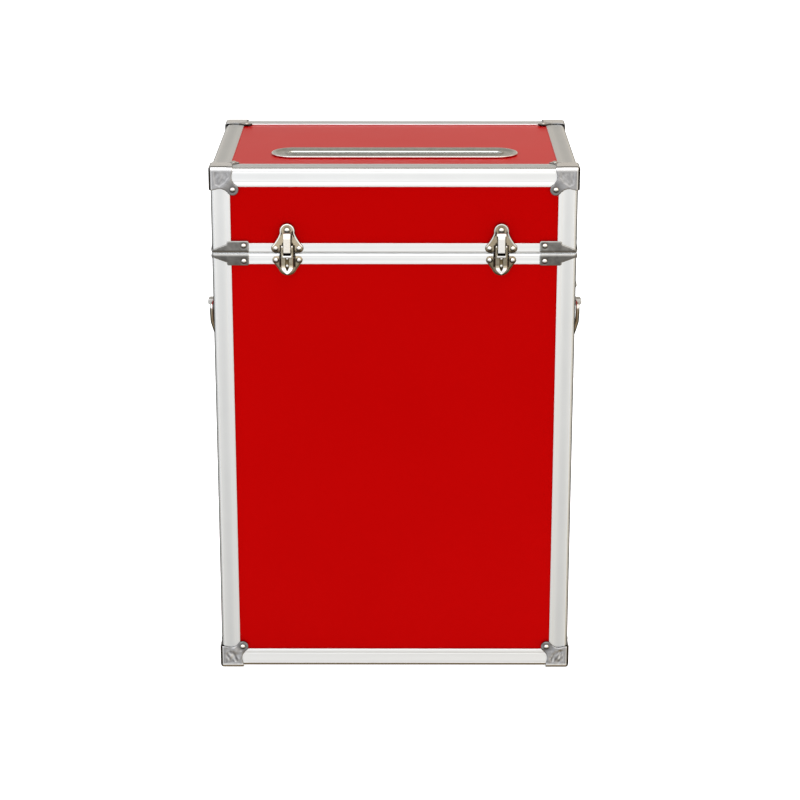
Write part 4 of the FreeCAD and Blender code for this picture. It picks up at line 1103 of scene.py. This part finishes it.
def base_sheet():
    """The base under the lever: two lobes, sides that run in, and a rolled rim."""
    right = [(0.0, 1.3), (7.2, 1.3), (7.4, -2.5), (base_rivet_x, -2.5)]
    right += circle_points((base_rivet_x, -base_rivet_down), 3.7, 90, -52, 14)[1:] + [(8.2, -15.2)]
    right += arc_through((8.2, -15.2), (4.592, -19.68), (0.0, -20.8), 8)[1:] + [(0.0, -20.8)]
    flat, triangles, edge = filled(with_mirror(right), [], 0.6, (0.25, 0.6, 1.1))
    x, z = flat[:, 0], flat[:, 1]
    out = 1.05 - 0.75 * faded(edge, -0.4, 1.9) * eased(np.maximum(np.abs(x) - 7.0, -z - 8.0), 0.0, 1.2)
    out += 0.02 * wobble(flat, 4.0, 3.0)
    # Painted highlight along the lower edge; painted shade over the middle behind the lever, along the outline
    # and round the lobe rivets.
    rub = 0.5 * faded(edge, 0.0, 0.3) * (z < -8)
    lobe = np.hypot(np.abs(x) - base_rivet_x, z + base_rivet_down)
    soil = faded(np.maximum(np.abs(x) - 7.2, -12.5 - z), -0.2, 1.0)
    soil += 0.8 * faded(edge, 0.0, 0.2) + 0.5 * peak(lobe, 2.8, 0.4) * (z < -5.5)
    return sheet(flat, triangles, out, rub, soil)


def ear_sheets():
    """The two walls that carry the lever's pin. The right-hand one is cut back where the lock's cam turns."""
    whole = rounded(
        [(0.4, -10.9), (6.0, -9.6), (6.6, -3.5), (5.2, -0.9), (0.4, -0.9)], [0, 1.6, 3.0, 1.4, 0], 6
    )
    cut = rounded(
        [(0.4, -10.9), (5.0, -9.85), (5.0, -5.1), (6.35, -5.1), (6.5, -3.5), (5.2, -0.9), (0.4, -0.9)],
        [0, 0.8, 0.3, 0.2, 1.4, 1.4, 0], 6,
    )
    ears = []
    for sign, outline in ((-1, whole), (1, cut)):
        flat, triangles, edge = filled(outline, [], 0.6, (0.15,))
        drop = 0.1 * faded(edge, 0.0, 0.25)
        outer, inner = (columns(sign * x, flat[:, 0], flat[:, 1]) for x in (7.4 - drop, 6.9 + drop))
        # Painted shade over the whole of each wall, so the gaps beside the lever read dark.
        ears.append(shell(outer, inner, triangles, drop * 0, np.full(len(flat), 0.75), hidden_shade))
    return ears


def lever_sheet():
    """The lever as one bent sheet: a channel with a fork, a window with a raised lip, a keyhole and a finger.
    The outline is flat, with its width unrolled round the bends. The right-hand wall is notched for the cam."""
    half, radius, gauge, face = 5.7, 0.9, 0.75, 7.8
    bend = half - radius
    turn = radius * math.pi / 2
    shallow, deep = bend + turn + 0.9, bend + turn + 4.1
    upper = [
        (0.0, 7.2), (3.2, 7.2), (3.6, 7.25), (3.6, 8.2), (3.9, 8.8), (4.5, 9.0), (shallow, 9.0), (deep, -2.25),
        (deep, -6.0),
    ]
    notch = [(7.75, -9.84), (7.75, -5.3), (6.6, -5.3), (6.6, -10.75)]
    finger = [(bend + turn - 0.2, -11.1)] + arc_through((5.6, -11.7), (4.0, -14.9), (1.0, -17.5), 7)
    finger += [(0.45, -17.78), (0.0, -17.8)]
    plain = upper + [(shallow + 0.4, -10.2)] + finger
    outline = upper + notch + finger + [(-x, z) for x, z in reversed(plain) if x > 1e-6]
    window = rounded([(-3.6, -0.4), (3.6, -0.4), (3.6, 5.3), (-3.6, 5.3)], [0.7, 0.7, 0.5, 0.5], 4)
    keyhole = np.array(
        [(-1.65, -10.4), (-1.5, -11.8), (-0.9, -13.6), (-0.25, -14.9), (0.25, -14.9), (0.9, -13.6)]
        + [(1.5, -11.8)] + circle_points((0.0, -4.1), 1.65, 0, 180, 10)
    )
    flat, triangles, edge = filled(outline, [window, keyhole], 0.5, (0.2, 0.5, 0.9))
    x, z = flat[:, 0], flat[:, 1]
    across, sign = np.abs(x), np.sign(x)
    ridge = to_edge(flat, [keyhole])
    lip = eased(4.5 - across, 0.0, 0.5) * eased(z + 2.7, 0.0, 0.5) * faded(z, -0.3, 0.5)
    rise = 0.5 * lip
    rise += 0.12 * (eased(ridge, -0.2, 0.4) - eased(ridge, 0.7, 1.5)) * faded(z, -6.4, -5.2)
    rise -= 0.2 * faded(edge, 0.0, 0.35) + 0.5 * eased(z, 7.6, 9.2) + 0.06 * eased(z, 4.8, 5.4)
    rise -= 0.10 * faded(across, 0.0, 4.5) * (z < 0)
    flare = 1.8 * np.clip((-10.4 - z) / 7.4, 0, 1) + 0.25 * eased(-z, 9.4, 11.4) - 0.25 * eased(-z, 13.5, 17.0)
    turned = np.clip((across - bend) / radius, 0, math.pi / 2)
    past = np.maximum(across - bend - turn, 0)
    normal = columns(np.sin(turned) * sign, np.cos(turned))
    centre = columns(np.minimum(across, bend) * sign, face - radius - past)

    def surface(depth):
        spot = centre + normal * (radius + depth)[:, None]
        return columns(spot[:, 0], spot[:, 1] + flare, z)

    # Painted highlights on the finger, the fork's tops and the window's lip; painted shade along the outline.
    rub = np.clip(eased(-z, 11.0, 12.5) + eased(z, 7.4, 8.4) + lip, 0, 1)
    soil = 0.7 * faded(edge, 0.0, 0.15)
    return shell(surface(rise), surface(rise * 0.4 - gauge), triangles, rub, soil, hidden_shade)


def set_latch_piece(node, sheets, finish, body, x):
    """Sheets as one piece, at a latch's place on the front. The right-hand latch is darkened all over by a
    floor on its painted shade.
    """
    points, faces, rub, soil = joined(sheets)
    across, out, rise = points.T
    points = columns(across + x, -half_depth - out, rise + split)
    # painted shade floor on the right-hand latch
    if x > 0:
        soil = np.maximum(soil, 0.28)
    made_shell(node, (points, faces, rub, soil), finish, body, 40.0)


# The last number of each is the tongue's painted highlight tone.
for side, x, foot, highlight_tone in (("left", -latch_x, 3.5, 0.6), ("right", latch_x, 4.4, 1.0)):
    set_latch_piece("strike_plate_" + side, [strike_sheet(), tongue_sheet(foot, highlight_tone)], "latch", "lid", x)
    set_latch_piece("latch_base_" + side, [base_sheet()] + ear_sheets(), "base", "cabinet", x)
    set_latch_piece("latch_lever_" + side, [lever_sheet()], "lever", "lever_" + side, x)


# Pieces whose CAD shape only needs its edges broken

def bail_painted_light(place, normal):
    """Painted shade along the outer side and, more weakly, on the side towards the box, and a painted highlight
    at the knuckles.
    """
    outward = normal.x * math.copysign(1.0, place.x)
    knuckle = eased(place.z, 346.5, 349.5)
    return knuckle, eased(outward, 0.2, 0.6) * (1 - knuckle) + 0.6 * faded(outward, -0.7, -0.2)


def lock_pin_highlight(place, normal):
    """A painted highlight on the drive pins."""
    return place.y < -half_depth - drive_pin_out, 0.0


for side in ("left", "right"):
    softened("lock_plug_" + side, "lock", 0.12, lock_pin_highlight)
    softened("lever_spring_" + side, "spring", 0.02)
    softened("handle_plate_" + side, "handle", 0.4)
    softened("handle_bail_" + side, "bail", 0.3, bail_painted_light)
# The latch pins get painted shade all over.
softened("latch_pins", "hinge", 0.2, lambda place, normal: (0.0, 0.9))
softened("hinge_pins", "hinge", 0.3)
softened("body_hinge_leaves", "hinge")
softened("lid_hinge_leaves", "hinge")

for node, board in frame["nodes"].items():
    if node.endswith("_panel"):
        board.data.materials.clear()
        board.data.materials.append(finishes["board"])


# Floor, light and camera

def floor():
    """A pale floor that lights the box a little from below and isn't mirrored in it."""
    mesh = bpy.data.meshes.new("floor")
    mesh.from_pydata([(-12, -12, 0), (12, -12, 0), (12, 12, 0), (-12, 12, 0)], [], [(0, 1, 2, 3)])
    material, feed, _ = shader("pale floor", (0.93, 0.93, 0.93), 0.0, 0.9)
    feed(Specular_IOR_Level=0.0, Emission_Color=(1, 1, 1, 1), Emission_Strength=0.8)
    mesh.materials.append(material)
    ground = shown("floor", mesh)
    ground.visible_glossy = False


def studio():
    """A pale studio: plain white to the eye, with bright and dim sides for gloss to pick up."""
    world = bpy.data.worlds.new("studio")
    bpy.context.scene.world = world
    world.use_nodes = True
    world.node_tree.nodes.clear()
    add = adder(world.node_tree)

    def band(value, low, high, stops):
        """A colour ramp over a value from low to high. Greys are given as one number."""
        ramp = add("ShaderNodeValToRGB", Fac=spread(add, value, low, high))
        elements = ramp.color_ramp.elements
        while len(elements) < len(stops):
            elements.new(0.5)
        for element, (place, color) in zip(elements, stops):
            element.position = (place - low) / (high - low)
            element.color = (*np.broadcast_to(color, 3), 1.0)
        return ramp.outputs["Color"]

    def worked(operation, *values):
        """A sum on numbers and nodes' outputs."""
        return add("ShaderNodeMath", dict(enumerate(values)), operation=operation).outputs[0]

    where = add("ShaderNodeSeparateXYZ", {0: add("ShaderNodeTexCoord").outputs["Generated"]}).outputs
    over = worked("ARCTAN2", where["Z"], worked("MULTIPLY", where["Y"], -1.0))
    # Degrees from the front horizon over the top to the back, and below the horizon as negative
    around = band(over, -math.pi, math.pi, [(math.radians(a), c) for a, c in (
        (-180, (0.12, 0.115, 0.105)), (-140, (0.04, 0.03, 0.018)), (-70, (0.06, 0.04, 0.018)),
        (-48, (0.15, 0.12, 0.08)), (-34, (0.33, 0.32, 0.30)), (-24, (0.40, 0.40, 0.395)),
        (-14, 0.42), (-6, 0.50), (3, 0.92), (64, 0.92), (76, (0.12, 0.105, 0.08)), (102, (0.06, 0.05, 0.035)),
        (112, (0.265, 0.26, 0.245)), (124, (0.33, 0.32, 0.30)), (142, (0.207, 0.197, 0.18)),
        (160, (0.262, 0.247, 0.225)), (180, (0.31, 0.295, 0.27)),
    )])
    ahead = band(where["Z"], -1.0, 1.0, [
        (-1.0, (0.03, 0.02, 0.01)), (-0.6, (0.09, 0.065, 0.035)), (-0.4, (0.20, 0.18, 0.14)),
        (-0.22, (0.45, 0.45, 0.445)), (0.1, 0.6), (0.8, 0.65), (1.0, 0.2),
    ])
    behind = band(where["Z"], -1.0, 1.0, [
        (-1.0, (0.02, 0.015, 0.01)), (-0.2, (0.06, 0.055, 0.045)), (0.05, (0.10, 0.098, 0.09)),
        (0.3, (0.25, 0.25, 0.245)), (1.0, 0.2),
    ])
    sides = mixed(add, spread(add, where["Y"], -0.60, -0.25), ahead, behind)
    sides = mixed(add, spread(add, worked("ABSOLUTE", where["Y"]), 0.34, 0.12), sides, (0.5, 0.5, 0.5))
    whole = mixed(add, spread(add, worked("ABSOLUTE", where["X"]), 0.55, 0.85), around, sides)
    warmth = spread(add, where["X"], -0.1, 0.5)
    beige = mixed(add, warmth, whole, (1.0, 0.93, 0.82), blend_type="MULTIPLY")
    gloss = add("ShaderNodeBackground", Color=beige, Strength=2.0)
    plain = add("ShaderNodeBackground", Color=(1, 1, 1, 1), Strength=0.5)
    eye = add("ShaderNodeBackground", Color=(1, 1, 1, 1), Strength=1.0)
    path = add("ShaderNodeLightPath").outputs
    first = add("ShaderNodeMixShader", {0: path["Is Glossy Ray"], 1: plain.outputs[0], 2: gloss.outputs[0]})
    second = add("ShaderNodeMixShader", {0: path["Is Camera Ray"], 1: first.outputs[0], 2: eye.outputs[0]})
    add("ShaderNodeOutputWorld", Surface=second.outputs[0])


def softbox(name, place, target, size, power):
    """A rectangular lamp that shines at a target and isn't mirrored."""
    light = bpy.data.lights.new(name, "AREA")
    light.shape = "RECTANGLE"
    light.size, light.size_y = size
    light.energy = power
    lamp = shown(name, light)
    lamp.location = place
    lamp.visible_glossy = False
    lamp.rotation_euler = (Vector(target) - Vector(place)).to_track_quat("-Z", "Y").to_euler()


floor()
studio()
softbox("front_softbox", (-0.9, -2.6, 1.9), (0, 0, 0.25), (1.8, 1.4), 12.5)
softbox("top_softbox", (0.3, 0.2, 2.4), (0, 0, 0.4), (2.0, 2.0), 38)

lens = bpy.data.cameras.new("view")
lens.lens = 103.14
lens.sensor_width = 36.0
camera = shown("view", lens)
camera.location = (0.0093, -2.1904, 0.9432)
camera.rotation_euler = Euler((math.radians(72.204), 0.0, math.radians(0.11)))
bpy.context.scene.camera = camera
bpy.context.scene.view_settings.view_transform = "Standard"
